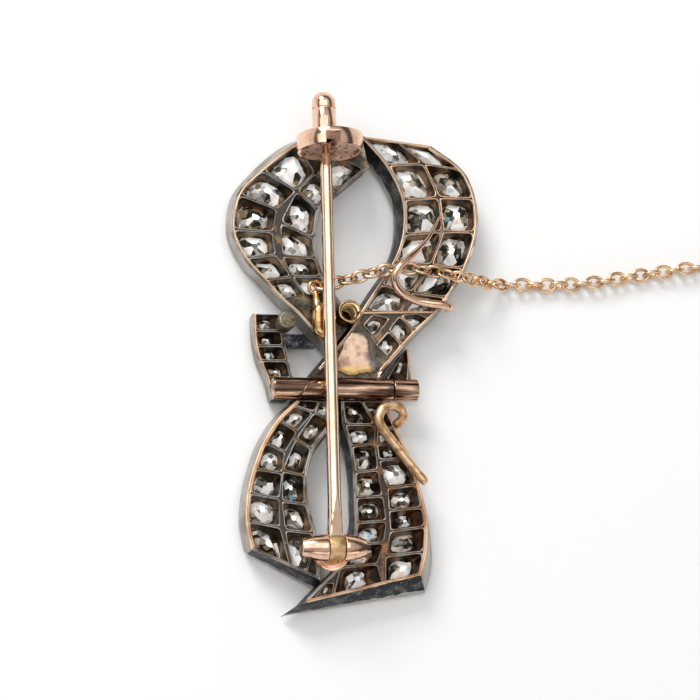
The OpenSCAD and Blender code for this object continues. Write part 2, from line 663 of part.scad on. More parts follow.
HINGE_BASE = [-2.86, -18.65];
HINGE_BASE_R = 1.73;
HINGE_BASE_CUT = -17.7;
LUG_LENGTHS = [2.35, 2.0];
LUG_END_R = 0.75;
FOOT_WIDTH = 1.1;
FOOT_DEPTH = 1.3;
module hinge_barrel() {
    inner = KNUCKLE_WIDTH / 2 + LUG_GAP;
    color("rosybrown") placed() {
        translate([hinge_x, hinge_y, pin_z]) {
            for (end = [0, 1]) {
                side = end * 2 - 1;
                translate([side * inner, 0, 0]) rotate([0, side * 90, 0])
                    cylinder(r1 = LUG_R, r2 = LUG_END_R, h = LUG_LENGTHS[end]);
                translate([side * (inner + FOOT_WIDTH / 2 + 0.2) - FOOT_WIDTH / 2,
                    -FOOT_DEPTH / 2, HINGE_BASE_Z - pin_z])
                    cube([FOOT_WIDTH, FOOT_DEPTH, pin_z - HINGE_BASE_Z]);
            }
            translate([-inner - EPS, 0, 0]) rotate([0, 90, 0])
                cylinder(r = axle_r, h = 2 * (inner + EPS));
        }
        difference() {
            translate([HINGE_BASE[0], HINGE_BASE[1], HINGE_BASE_Z])
                cylinder(r = HINGE_BASE_R, h = HINGE_BASE_TOP - HINGE_BASE_Z);
            translate([-FAR / 2, HINGE_BASE_CUT, 0]) cube([FAR, FAR, FAR]);
        }
    }
}

// Tube, socket and stud
module along_tube(from, to, r) {
    translate([from, TUBE_Y, TUBE_Z]) rotate([0, 90, 0]) cylinder(r = r, h = to - from);
}

module cross_tube() {
    edge_start = SLANT_END_LEFT[2];
    edge_end = SLANT_END_LEFT[3];
    line = unit(edge_end - edge_start);
    normal = [-line[1], line[0]] * TUBE_GROOVE / 2;
    color("rosybrown") placed() difference() {
        along_tube(TUBE_LEFT, TUBE_SEAM, tube_r);
        difference() {
            translate([0, 0, TUBE_Z]) linear_extrude(height = FAR)
                polygon([edge_start - line + normal, edge_start - line - normal,
                    edge_end + line - normal, edge_end + line + normal]);
            along_tube(TUBE_LEFT - 1, TUBE_SEAM + 1, tube_r - TUBE_GROOVE);
        }
        along_tube(TUBE_LEFT - 1, TUBE_LEFT + TUBE_GROOVE, TUBE_GROOVE);
    }
}

module tube_cap() {
    color("rosybrown") placed() along_tube(TUBE_SEAM + GAP, TUBE_RIGHT, tube_r);
}

module threaded_socket() {
    color("goldenrod") placed() translate([SOCKET[0], SOCKET[1], SOCKET_Z[0]]) difference() {
        cylinder(r = socket_r, h = SOCKET_Z[1] - SOCKET_Z[0]);
        translate([0, 0, -1]) cylinder(r = socket_bore_r, h = FAR);
    }
}

module stud() {
    color("gray") placed() translate([STUD[0], STUD[1], knot_back + EPS])
        cylinder(r = STUD_R, h = STUD_TOP - knot_back - EPS);
}

// Wires
HOOK_STEPS = 22;
module upper_hook() {
    color("rosybrown") placed() wire(sampled(UPPER_HOOK, HOOK_STEPS), 0.38, 0.22, HOOK_SIDES);
}

module lower_hook() {
    color("goldenrod") placed() wire(sampled(LOWER_HOOK, HOOK_STEPS), 0.44, 0.4, HOOK_SIDES);
}

module bolt_ring() {
    neck = EYE_MIDDLE - RING_MIDDLE;
    neck_start = RING_HALF_WIDTH + RING_STRAIGHT / 2;
    color("gold") placed() {
        translate(RING_MIDDLE) {
            oblong_ring(RING_HALF_WIDTH, RING_STRAIGHT, RING_WIRE_R);
            translate([neck[0], neck_start, neck[2]])
                along_y(0.3, 0.2, neck[1] - EYE_R - neck_start);
        }
        translate(EYE_MIDDLE) round_ring(EYE_R, EYE_WIRE_R);
    }
}

// The chain: links a pitch apart along its route, each a quarter turn from the last
route = sampled(CHAIN_ROUTE, ROUTE_STEPS);
route_lengths = [for (k = 0, sum = 0; k <= ROUTE_STEPS;
    k = k + 1, sum = sum + (k <= ROUTE_STEPS ? norm(route[k] - route[k - 1]) : 0)) sum];
links = floor(route_lengths[ROUTE_STEPS] / link_pitch);
function step_at(distance) =
    let (past = [for (k = [1:ROUTE_STEPS]) if (route_lengths[k] >= distance) k])
    len(past) > 0 ? past[0] : ROUTE_STEPS;
function route_at(distance) =
    let (k = step_at(distance))
    lerp(route[k - 1], route[k],
        (distance - route_lengths[k - 1]) / (route_lengths[k] - route_lengths[k - 1]));
function link_tangent(i) =
    unit(route_at(min(i * link_pitch + 0.5, route_lengths[ROUTE_STEPS]))
        - route_at(max(i * link_pitch - 0.5, 0)));
// Links under the pin lie at 45 degrees, and turn to lie flat and upright on the table
function link_roll(i) = (i % 2 == 0 ? -45 : 45) + min(45, max(0, (i - 8) * 5));
function link_path(i) =
    let (middle = route_at(i * link_pitch), forward = link_tangent(i))
    let (level = unit(cross([0, 0, 1], forward)), rise = cross(forward, level))
    let (across = cos(link_roll(i)) * level + sin(link_roll(i)) * rise)
    let (bend = link_width / 2 - link_wire_r)
    let (straight = link_length / 2 - link_width / 2)
    [for (k = [0:LINK_POINTS - 1]) let (a = (k + 0.5) * 360 / LINK_POINTS)
        middle + across * bend * sin(a) + forward * (bend * cos(a) + straight * sign(cos(a)))];
function link_normal(i) =
    let (forward = link_tangent(i), level = unit(cross([0, 0, 1], forward)))
    let (rise = cross(forward, level))
    cos(link_roll(i)) * rise - sin(link_roll(i)) * level;
module safety_chain() {
    color("gold") placed()
        for (i = [0:links])
            closed_wire(link_path(i), link_wire_r, LINK_SIDES, link_normal(i));
}

// The pin at the chain's free end, closed and plain, with an upright eye for the last link
SAFETY_EYE_R = 0.6;
SAFETY_EYE_WIRE = 0.2;
SAFETY_WIRE = 0.28;
SAFETY_STRAIGHT = 6.3;
SAFETY_HALF_WIDTH = 0.85;
SAFETY_CAP = [1.4, 2.6, 0.74];
module safety_pin() {
    last = route_at(links * link_pitch);
    hole_end = link_length / 2 - 2 * link_wire_r;
    eye_x = last[0] + hole_end - 0.1 - SAFETY_EYE_WIRE + SAFETY_EYE_R;
    middle_x = eye_x + SAFETY_EYE_R + SAFETY_HALF_WIDTH + SAFETY_STRAIGHT / 2 - 0.1;
    cap_x = middle_x + SAFETY_STRAIGHT / 2;
    color("gold") placed() translate([0, last[1], table_z]) {
        translate([eye_x, 0, SAFETY_EYE_R + SAFETY_EYE_WIRE + EPS]) rotate([90, 0, 0])
            round_ring(SAFETY_EYE_R, SAFETY_EYE_WIRE);
        translate([middle_x, 0, SAFETY_CAP[2] / 2]) rotate([0, 0, 90])
            oblong_ring(SAFETY_HALF_WIDTH, SAFETY_STRAIGHT, SAFETY_WIRE);
        translate([cap_x, -SAFETY_CAP[1] / 2, EPS]) cube(SAFETY_CAP);
    }
}

loop_left_band();
loop_right_band();
left_tail();
right_tail();
knot_left();
knot_right();
loop_left_stones();
loop_right_stones();
left_tail_stones();
right_tail_stones();
knot_stones();
catch_drum();
catch_plunger();
pin_stem();
hinge_barrel();
cross_tube();
tube_cap();
threaded_socket();
stud();
upper_hook();
lower_hook();
bolt_ring();
safety_chain();
safety_pin();
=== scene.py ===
"""Looks of a bow brooch that lies face down, with its back, pin and safety chain in view.

Lengths in the tables are millimetres from a point near the middle of the bow. +Z is the
brooch's back and +Y points to the catch. placed() takes them into the part's own frame.
"""

import math
import random

import bmesh
import bpy
import numpy as np
from mathutils import Matrix, Vector, noise
from mathutils.geometry import delaunay_2d_cdt


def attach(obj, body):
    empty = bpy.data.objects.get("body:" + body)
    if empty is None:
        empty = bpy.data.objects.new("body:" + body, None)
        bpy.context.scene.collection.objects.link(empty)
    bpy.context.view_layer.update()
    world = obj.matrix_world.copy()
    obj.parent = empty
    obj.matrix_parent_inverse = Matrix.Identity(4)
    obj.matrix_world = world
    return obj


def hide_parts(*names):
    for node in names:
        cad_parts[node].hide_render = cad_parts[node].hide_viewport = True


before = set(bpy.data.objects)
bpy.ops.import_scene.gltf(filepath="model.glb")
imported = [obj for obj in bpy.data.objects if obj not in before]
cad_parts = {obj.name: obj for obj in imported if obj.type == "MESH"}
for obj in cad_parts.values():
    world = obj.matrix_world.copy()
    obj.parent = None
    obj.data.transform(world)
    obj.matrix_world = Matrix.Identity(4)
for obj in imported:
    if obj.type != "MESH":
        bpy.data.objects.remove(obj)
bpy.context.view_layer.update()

# Without a seed, the unevenness of the hand work differs from run to run
HAND_SEED = 1795708985
noise.seed_set(HAND_SEED)

MM = 0.001
SHIFT = Vector((-17.25, 0.4, -0.3))
ALONG_X = Vector((1, 0, 0))
ALONG_Y = Vector((0, 1, 0))
UP = Vector((0, 0, 1))


def placed(point):
    """A point of the tables in the part's own frame, in metres."""
    return (Vector(point) + SHIFT) * MM


def linked(name, data):
    """A new object in the scene."""
    thing = bpy.data.objects.new(name, data)
    bpy.context.scene.collection.objects.link(thing)
    return thing


def meshed(name, points, faces, materials=()):
    """A new mesh object, from points in millimetres."""
    mesh = bpy.data.meshes.new(name)
    mesh.from_pydata([placed(p) for p in points], [], faces)
    for material in materials:
        mesh.materials.append(material)
    return linked(name, mesh)


def give(mesh, name, domain, values):
    """Stores one number for each point or face, for the finishes to read."""
    mesh.attributes.new(name, "FLOAT", domain).data.foreach_set("value", values)


def clipped(value):
    return max(0.0, min(1.0, value))


def unit(v):
    return v / np.linalg.norm(v)


def angles(count, turn=0.0):
    """Angles of even points on a circle, the first one turned by a share of a step."""
    return [2 * math.pi * (j + turn) / count for j in range(count)]


def circled(centre, radius, side, other, sides, turn=0.0):
    """Points of a circle that lies along two directions."""
    return [centre + radius * (math.cos(a) * side + math.sin(a) * other)
            for a in angles(sides, turn)]


def rounded(angle, squareness):
    """A point between a square, at squareness 0, and a circle, at 1."""
    return [math.copysign(abs(v) ** squareness, v) for v in (math.cos(angle), math.sin(angle))]


def straight(start, end, steps):
    """Even points from one place to another, with both."""
    return [start + (end - start) * j / steps for j in range(steps + 1)]


# Finishes


def tint(red, green, blue):
    """A colour as a screen shows it, from 0 to 255, as the light values that nodes take."""
    shares = [value / 255 for value in (red, green, blue)]
    return tuple(s / 12.92 if s <= 0.04045 else ((s + 0.055) / 1.055) ** 2.4 for s in shares) + (1,)


class Term:
    """A socket in a node tree that takes part in plain sums."""

    def __init__(self, nodes, socket):
        self.nodes = nodes
        self.socket = socket

    def sum_with(self, operation, other):
        return self.nodes.add("ShaderNodeMath", {0: self, 1: other}, operation=operation)

    def __add__(self, other):
        return self.sum_with("ADD", other)

    def __sub__(self, other):
        return self.sum_with("SUBTRACT", other)

    def __mul__(self, other):
        return self.sum_with("MULTIPLY", other)

    def __truediv__(self, other):
        return self.sum_with("DIVIDE", other)


class Nodes:
    """A node tree whose steps are added one by one."""

    def __init__(self, tree):
        self.tree = tree

    def feed(self, socket, value):
        """Links a term to a socket, or sets the socket to a constant."""
        if isinstance(value, Term):
            self.tree.links.new(value.socket, socket)
        else:
            socket.default_value = value

    def add(self, kind, values, output=0, **settings):
        node = self.tree.nodes.new(kind)
        for key, setting in settings.items():
            setattr(node, key, setting)
        for key, value in values.items():
            self.feed(node.inputs[key], value)
        return Term(self, node.outputs[output])

    def ramp(self, value, stops):
        """Colours by value. Stops: a value and its colour."""
        shown = self.add("ShaderNodeValToRGB", {"Fac": value})
        elements = shown.socket.node.color_ramp.elements
        while len(elements) < len(stops):
            elements.new(0.5)
        for element, (where, colour) in zip(elements, stops):
            element.position = where
            element.color = colour
        return shown


class Finish(Nodes):
    """A material whose pattern is measured in millimetres on the piece."""

    def __init__(self, name, metallic=1.0, coat=0.0):
        self.material = bpy.data.materials.new(name)
        self.material.use_nodes = True
        super().__init__(self.material.node_tree)
        self.wear(metallic=metallic, coat_weight=coat)
        here = self.add("ShaderNodeTexCoord", {}, "Object")
        self.place = self.add("ShaderNodeMapping", {"Vector": here, "Scale": (1 / MM,) * 3})

    def grain(self, per_mm, detail=3.0, stretch=(1, 1, 1)):
        """Cloudy noise with this many patches to a millimetre."""
        spread = self.add("ShaderNodeMapping", {"Vector": self.place, "Scale": stretch})
        return self.add("ShaderNodeTexNoise",
                        {"Vector": spread, "Scale": per_mm, "Detail": detail})

    def shards(self, per_mm):
        """Cells with this many to a millimetre, each with its own random colour."""
        return self.add("ShaderNodeTexVoronoi",
                        {"Vector": self.place, "Scale": per_mm, "Randomness": 1.0},
                        "Color", feature="F1")

    def step(self, value, start, end):
        """0 below start, 1 above end, and smooth between them."""
        return self.add("ShaderNodeMapRange",
                        {"Value": value, "From Min": start, "From Max": end},
                        interpolation_type="SMOOTHSTEP")

    def blend(self, share, first, second):
        """A mix of two colours, each one a term or three values from 0 to 255."""
        first, second = (c if isinstance(c, Term) else tint(*c) for c in (first, second))
        return self.add("ShaderNodeMix", {0: share, 6: first, 7: second}, 2, data_type="RGBA")

    def drift(self, value, start, end, first, second):
        """The first colour where the value is below start, the second where it is above end."""
        return self.blend(self.step(value, start, end), first, second)

    def attribute(self, name):
        return self.add("ShaderNodeAttribute", {}, "Fac", attribute_name=name)

    def distance(self, axis):
        return self.add("ShaderNodeSeparateXYZ", {"Vector": self.place}, axis)

    def channel(self, colour, name):
        return self.add("ShaderNodeSeparateColor", {"Color": colour}, name)

    def relief(self, height, millimetres):
        """Small relief of this depth, as a normal."""
        return self.add("ShaderNodeBump",
                        {"Height": height, "Distance": millimetres * MM, "Strength": 1.0})

    def wear(self, **values):
        """Feeds the shader's inputs, and returns the material."""
        shader = self.tree.nodes["Principled BSDF"]
        for name, value in values.items():
            label = name.replace("_", " ").title().replace("Ior", "IOR")
            self.feed(shader.inputs[label], value)
        return self.material


def cell_silver(name, lip, lip_shade, base, brown_stain_and_reflection):
    """Oxidised silver inside the cells, with brown that is both stain and painted reflection and
    grows with depth, and worn bright on the thin lips.
    """
    finish = Finish(name, metallic=0.95)
    cloud = finish.grain(0.8)
    fine = finish.grain(5.0, 4.0)
    dark = finish.drift(cloud + finish.attribute("deep") * 0.14, 0.54, 0.66, base, brown_stain_and_reflection)
    mottled = finish.drift(fine + cloud, 0.8, 1.15, (62, 56, 48), (108, 100, 87))
    surface = finish.blend(finish.attribute("plain"), dark, mottled)
    rubbed = finish.attribute("wear") * finish.step(fine + cloud * 0.5, 0.42, 0.72)
    colour = finish.blend(rubbed, surface, finish.drift(cloud, 0.42, 0.6, lip, lip_shade))
    return finish.wear(base_color=colour, roughness=fine * 0.28 + 0.24,
                       normal=finish.relief(fine, 0.03))


def wall_silver():
    """Matte beige-grey silver of the outer walls and the front, darker where it is handled."""
    finish = Finish("wall_silver", metallic=0.85)
    fine = finish.grain(7.0, 4.0, (1, 1, 0.4))
    colour = finish.drift(finish.grain(0.35), 0.38, 0.66, (182, 178, 172), (146, 138, 128))
    return finish.wear(base_color=colour, roughness=fine * 0.16 + 0.42,
                       normal=finish.relief(fine, 0.015))


def dark_silver():
    """Blue-grey pitted silver, darker than the outer walls as painted shade, for the cut ends and
    inner walls.
    """
    finish = Finish("dark_silver", metallic=0.95)
    cloud = finish.grain(0.9, 5.0)
    fine = finish.grain(8.0, 5.0)
    base = finish.drift(cloud, 0.44, 0.62, (35, 38, 42), (78, 80, 82))
    colour = finish.drift(fine + cloud * 0.5, 0.82, 0.96, base, (146, 148, 150))
    return finish.wear(base_color=colour, roughness=fine * 0.22 + 0.34,
                       normal=finish.relief(fine, 0.04))


def gold(name, light, shade, roughness=0.14, per_mm=1.1, pits=0.0, matte=0.0):
    """Gold whose colour drifts from light to shade, with fine pits where it isn't polished."""
    finish = Finish(name)
    fine = finish.grain(9.0, 4.0)
    colour = finish.drift(finish.grain(per_mm), 0.42, 0.68, light, shade)
    return finish.wear(base_color=colour, roughness=fine * (0.08 + matte) + roughness,
                       normal=finish.relief(fine, 0.004 + pits))


def rough_cast():
    """Rose gold left as it was cast, with brown pits that are darkest where the relief is lowest:
    the cast's own brown and painted shade in the pits.
    """
    finish = Finish("rough_rose_gold", metallic=0.6)
    lumps = finish.grain(1.9, 5.0)
    fine = finish.grain(7.0, 4.0)
    # Low places of the relief are dark: painted shade in the pits, over the cast's brown.
    colour = finish.drift(lumps + fine * 0.4, 0.52, 0.7, (112, 76, 60), (250, 216, 194))
    return finish.wear(base_color=colour, roughness=fine * 0.3 + 0.3,
                       normal=finish.relief(lumps + fine * 0.3, 0.3))


def tube_copper():
    """The cross tube's old rose gold, polished, with brown tarnish and painted reflection lines
    along it.
    """
    finish = Finish("tube_copper")
    tarnish_and_reflection_streaks = finish.grain(2.6, 3.0, (0.07, 1, 1))
    fine = finish.grain(9.0, 4.0)
    colour = finish.drift(tarnish_and_reflection_streaks, 0.42, 0.58, (212, 174, 148), (92, 70, 58))
    return finish.wear(base_color=colour, roughness=fine * 0.14 + 0.1,
                       normal=finish.relief(fine, 0.005))


def solder_wash():
    """Solder wash on the crossing: peach, brushed, and paler yellow where it ran thick."""
    finish = Finish("solder_wash", metallic=0.8)
    brushed = finish.grain(5.0, 4.0, (0.4, 1.6, 1))
    cloud = finish.grain(1.1, 4.0)
    peach = finish.drift(cloud, 0.42, 0.62, (232, 204, 178), (196, 156, 136))
    marked = finish.drift(brushed, 0.62, 0.8, peach, (150, 116, 106))
    thick = finish.drift(finish.distance("Y") + cloud * 1.4, -0.6, -1.1, marked, (232, 196, 136))
    colour = finish.drift(finish.distance("X") + cloud * 2.4, -15.0, -14.4, thick,
                          (138, 130, 134))
    return finish.wear(base_color=colour, roughness=brushed * 0.2 + 0.42,
                       normal=finish.relief(brushed, 0.03))


def diamond():
    """Cut stones with painted light: each facet has its own painted brightness, broken into painted
    shards of reflection, under a hard gloss.
    """
    finish = Finish("diamond", metallic=0.0, coat=0.35)
    shard_light = finish.channel(finish.shards(2.0), "Red")
    # Facet and shard values are painted light: they stand for the reflections inside the stone.
    level = finish.attribute("painted_sparkle") * 0.72 + shard_light * 0.42 - 0.12
    clear = finish.ramp(level, [
        (0.0, tint(14, 13, 12)), (0.24, tint(54, 50, 44)), (0.4, tint(128, 125, 118)),
        (0.54, tint(214, 215, 213)), (0.68, tint(252, 253, 253))])
    warm = finish.blend(finish.step(shard_light, 0.6, 0.8) * 0.3, clear, (196, 170, 124))
    # Rare shards get painted flashes of orange and blue fire.
    other = finish.shards(2.6)
    painted_fire = finish.drift(finish.channel(other, "Blue"), 0.45, 0.55, (236, 166, 84), (120, 196, 224))
    painted_fire_share = finish.step(finish.channel(other, "Green"), 0.984, 0.988)
    colour = finish.blend(painted_fire_share * 0.55, warm, painted_fire)
    # The stones glow a little in their own colour: a painted glow that keeps them bright in the
    # shade.
    return finish.wear(base_color=colour, emission_color=colour, emission_strength=0.32,
                       roughness=0.08, ior=1.45, coat_ior=2.0, coat_roughness=0.02)


def table_top():
    """The pale table under the brooch."""
    finish = Finish("table_top", metallic=0.0)
    colour = finish.blend(finish.grain(0.004), (248, 248, 248), (246, 246, 246))
    return finish.wear(base_color=colour, roughness=0.85)


# The last colour of each cell finish is the brown of stain and painted reflection on the cell
# walls.
CELL = cell_silver("cell_silver", (168, 166, 164), (140, 124, 102), (74, 70, 65), (148, 120, 92))
CELL_WARM = cell_silver("cell_silver_warm", (224, 186, 154), (176, 158, 142), (76, 71, 65),
                        (150, 122, 94))
CELL_BROWN = cell_silver("cell_silver_brown", (172, 164, 156), (142, 112, 86), (72, 63, 56),
                         (138, 104, 80))
WALL = wall_silver()
DARK = dark_silver()
ROSE = gold("rose_gold", (240, 202, 176), (222, 176, 148), 0.1)
RIM_ROSE = gold("rim_rose_gold", (240, 212, 180), (214, 172, 134), 0.4, 0.4, 0.001)
RIM_COPPER = gold("rim_copper", (226, 188, 156), (176, 130, 100), 0.42, 0.4, 0.001)
RIM_SILVER = gold("rim_silver", (176, 170, 164), (100, 92, 84), 0.42, 0.5, 0.001)
PIN_GOLD = gold("pin_gold", (248, 222, 198), (242, 208, 178), 0.08, 0.5)
ROUGH_ROSE = rough_cast()
YELLOW = gold("yellow_gold", (210, 172, 120), (136, 102, 64), 0.14, 1.2)
HOOK_GOLD = gold("hook_gold", (236, 200, 162), (188, 142, 92), 0.26, 1.6, 0.012, 0.2)
CHAIN_GOLD = gold("chain_gold", (238, 206, 168), (200, 158, 122), 0.18, 0.8)
BRASS = gold("brass", (190, 156, 116), (124, 92, 62), 0.2, 1.6, 0.008)
# Dark brass as painted shade inside the socket's bore.
SHADED_BRASS = gold("dark_brass", (82, 58, 36), (44, 31, 20), 0.34, 1.6)
# Paler than the brass as painted light, so that the thread shows in the shade of the bore.
LIT_THREAD_GOLD = gold("thread_gold", (255, 232, 184), (236, 196, 136), 0.3)
STUD_METAL = gold("stud_metal", (154, 144, 122), (98, 88, 70), 0.34, 1.8, 0.02, 0.1)
KNUCKLE_GOLD = gold("knuckle_gold", (226, 190, 142), (168, 138, 98), 0.34, 1.4, 0.015, 0.1)
COPPER = tube_copper()
SOLDER = solder_wash()
DIAMOND = diamond()


# Shapes

SMOOTH_BELOW = 38.0
WELD = 0.0005
THINNEST = 0.0002


class Shape:
    """Points in millimetres and faces of one piece, each face with its finish's number."""

    def __init__(self):
        self.points = []
        self.faces = []
        self.finishes = []

    def loop(self, points):
        start = len(self.points)
        self.points.extend(Vector(p) for p in points)
        return list(range(start, len(self.points)))

    def face(self, corners, finish=0):
        self.faces.append(tuple(corners))
        self.finishes.append(finish)

    def strip(self, low, high, finish=0):
        """Faces between two loops. The finish is one number, or a list with one for each."""
        count = len(low)
        for j in range(count):
            k = (j + 1) % count
            number = finish[j] if isinstance(finish, list) else finish
            self.face(dict.fromkeys((low[j], low[k], high[k], high[j])), number)

    def skin(self, loops, finish=0, ends=None):
        """Faces from loop to loop, and over both ends where they are given a finish."""
        for low, high in zip(loops, loops[1:]):
            self.strip(low, high, finish)
        if ends is not None:
            self.face(loops[0], ends)
            self.face(loops[-1], ends)

    def upright(self, outline, heights):
        """A closed solid with this floor plan, between two heights."""
        self.skin([self.loop([(x, y, z) for x, y in outline]) for z in heights], ends=0)

    def build(self, name, materials, smooth_below=SMOOTH_BELOW):
        thing = meshed(name, self.points, self.faces, materials)
        thing.data.polygons.foreach_set("material_index", self.finishes)
        close_up(thing.data, smooth_below)
        return thing

    def piece(self, name, materials, smooth_below=SMOOTH_BELOW, body="frame"):
        """Builds the shape as the piece that stands for the node of this name."""
        fitted(self.build(name, materials, smooth_below), name, body)

    def further_piece(self, name, materials, smooth_below=SMOOTH_BELOW):
        """Builds the shape as a piece that replaces nothing."""
        fitted(self.build(name, materials, smooth_below))


def close_up(mesh, smooth_below):
    """Joins doubled points, turns the faces outwards, and keeps sharp edges sharp."""
    work = bmesh.new()
    work.from_mesh(mesh)
    bmesh.ops.remove_doubles(work, verts=work.verts, dist=WELD * MM)
    bmesh.ops.dissolve_degenerate(work, dist=THINNEST * MM, edges=work.edges)
    bmesh.ops.recalc_face_normals(work, faces=work.faces)
    limit = math.radians(smooth_below)
    for face in work.faces:
        face.smooth = True
    for edge in work.edges:
        edge.smooth = len(edge.link_faces) == 2 and edge.calc_face_angle(0.0) < limit
    work.to_mesh(mesh)
    work.free()


def fitted(thing, node=None, body="frame"):
    """Rides the piece on its body, and hides the node that it replaces."""
    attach(thing, body)
    if node:
        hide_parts(node)


def cut_by(thing, cutters, smooth_below=SMOOTH_BELOW):
    """Cuts the shapes out of the piece, and drops them."""
    for cutter in cutters:
        change = thing.modifiers.new("cut", "BOOLEAN")
        change.operation = "DIFFERENCE"
        change.solver = "EXACT"
        change.object = cutter
    whole = thing.evaluated_get(bpy.context.evaluated_depsgraph_get())
    mesh = bpy.data.meshes.new_from_object(whole)
    mesh.name = thing.name
    thing.modifiers.clear()
    thing.data = mesh
    for cutter in cutters:
        bpy.data.objects.remove(cutter)
    close_up(mesh, smooth_below)


def prism(outline, low, high):
    """A plain cutter with this floor plan."""
    shape = Shape()
    shape.upright(outline, (low, high))
    return shape.build("cutter", [])


def box(low_x, high_x, low_y, high_y):
    return [(low_x, low_y), (high_x, low_y), (high_x, high_y), (low_x, high_y)]


def turned(shape, profile, middle, axis, sides=48, finish=0):
    """A turned form. The profile's rows are a distance along the axis and a radius."""
    axis = Vector(axis).normalized()
    side = axis.orthogonal().normalized()
    other = axis.cross(side)
    loops = []
    for distance, radius in profile:
        centre = Vector(middle) + axis * distance
        if radius == 0:
            loops.append(shape.loop([centre]) * sides)
        else:
            loops.append(shape.loop(circled(centre, radius, side, other, sides)))
    shape.skin(loops, finish)


def turned_cutter(profile, middle, sides):
    """A cutter turned about a line along Y."""
    shape = Shape()
    turned(shape, profile, middle, ALONG_Y, sides)
    return shape.build("cutter", [])


def curve(path, s):
    """A smooth curve through the rows of a path, at s from 0 to the number of its gaps."""
    i = max(0, min(len(path) - 2, int(math.floor(s))))
    t = s - i
    a, b = path[max(0, i - 1)], path[i]
    c, d = path[i + 1], path[min(len(path) - 1, i + 2)]
    return 0.5 * (2 * b + (c - a) * t + (2 * a - 5 * b + 4 * c - d) * t * t
                  + (3 * b - a - 3 * c + d) * t ** 3)


def sampled(path, steps):
    rows = [np.array(row, float) for row in path]
    return [curve(rows, (len(rows) - 1) * k / steps) for k in range(steps + 1)]


# Rounded end of a wire. Columns: reach past the path's end, and radius, as shares of the wire's.
WIRE_END = [(0.0, 1.0), (0.5, 0.87), (0.87, 0.5), (0.99, 0.14)]


def drawn_wire(shape, path, radii, sides=16, closed=False):
    """Wire along a path, with rounded ends where it isn't closed on itself."""
    points = [Vector(p) for p in path]
    last = len(points) - 1
    up = UP
    loops = []
    for k, point in enumerate(points):
        after = points[(k + 1) % len(points)] if closed or k < last else point
        before = points[k - 1] if closed or k > 0 else point
        along = (after - before).normalized()
        side = along.cross(up).normalized()
        up = side.cross(along)
        outward = along if k else -along
        at_end = not closed and k in (0, last)
        rows = []
        for reach, share in WIRE_END if at_end else WIRE_END[:1]:
            centre = point + outward * reach * radii[k]
            rows.append(shape.loop(circled(centre, radii[k] * share, side, up, sides, 0.5)))
        loops.extend(rows if k else reversed(rows))
    shape.skin(loops, 0, None if closed else 0)
    if closed:
        shape.strip(loops[-1], loops[0])


def oblong(middle, half_width, side_length, count=64, turn=0.0):
    """A closed path with two straight sides along Y, turned about its middle."""
    spin = Matrix.Rotation(turn, 3, "Z")
    path = []
    for a in angles(count, 0.5):
        y = half_width * math.cos(a) + math.copysign(side_length / 2, math.cos(a))
        path.append(Vector(middle) + spin @ Vector((half_width * math.sin(a), y, 0)))
    return path


# Places that several pieces share

CATCH_X = -2.29
PIN_Z = 5.0
DRUM_R = 3.0
DRUM_NEAR = 17.5
DRUM_FAR = 19.1
DRUM_MIDDLE = (-1.9, 5.3)
DRUM_FOOT = 2.6
HINGE = Vector((-2.83, -18.6, PIN_Z))
TUBE_Y = -3.95
TUBE_Z = 3.3
TUBE_R = 1.0
SOCKET = (-0.5, 2.95)
SOCKET_HOLE_R = 1.13


# The bow's bands

FRAME_BACK = 3.2
FRAME_FRONT = 0.75
OVER_BACK = 3.6
OVER_FRONT = 0.99
KNOT_BACK = 2.25
KNOT_FRONT = 0.72
FRONT_BULGE = 0.4
RIM_WALL = 0.34
BAR_WALL = 0.28
STATIONS = 60
END_POINTS = 30
EDGE_GAP = 0.03
FAR = 60.0
STEP_REACH = 20
# Heights below and above the whole bow, for the cutters that go right through it
BELOW, ABOVE = -1, 8
WALL_SWELL = 0.06
WALL_LEVELS = [0.0, 0.03, 0.15, 0.35, 0.6, 0.82, 1.0]
WORN_EDGE_WOBBLE = 0.14
CHIPS = 0.2
EDGE_INSET = 0.1
EDGE_RISE = 0.1

# Finishes of a frame, by number. The third is the dark silver, painted shade on the cut ends and on
# the walls that face into the bow.
IN_CELL, PALE, SHADED_SIDE = 0, 1, 2

# Bars of the bands. Columns: x and y of the bar's left end, x and y of its right end.
LOOP_LEFT_OUTER = [
    [-1.3, 19.7, -0.4, 17.8], [-4.5, 19.0, -2.8, 16.2], [-7.9, 16.4, -4.6, 14.4],
    [-10.1, 14.0, -6.4, 12.6], [-10.8, 10.7, -6.9, 10.5], [-9.7, 8.0, -6.7, 8.4],
    [-8.0, 6.0, -5.4, 6.4], [-6.5, 4.3, -4.2, 4.7],
]
LOOP_LEFT_INNER = [
    [-0.4, 17.8, 1.9, 16.6], [-2.8, 16.2, -0.75, 14.35], [-4.6, 14.4, -2.6, 12.6],
    [-6.2, 11.4, -3.05, 10.0], [-6.2, 8.3, -2.95, 8.2], [-5.4, 6.4, -2.5, 6.5],
    [-4.2, 4.7, -1.6, 4.9],
]
LOOP_RIGHT_INNER = [
    [1.4, 19.7, 4.7, 19.4], [3.7, 17.0, 7.2, 17.3], [5.1, 13.8, 8.5, 14.1],
    [5.0, 10.5, 8.7, 10.9], [4.0, 7.9, 7.5, 7.7], [2.6, 5.8, 5.6, 5.1], [0.8, 3.2, 4.4, 3.3],
]
LOOP_RIGHT_OUTER = [
    [4.7, 19.4, 8.0, 19.0], [7.2, 17.3, 10.9, 16.8], [8.5, 14.1, 12.0, 14.1],
    [8.7, 10.9, 12.0, 10.9], [7.5, 7.7, 10.8, 7.5], [5.6, 5.1, 9.0, 4.7], [4.4, 3.3, 7.9, 3.3],
]
SLANT_INNER = [[1.7, 3.0, 3.5, 2.6], [0.8, 2.1, 2.0, 0.7]]
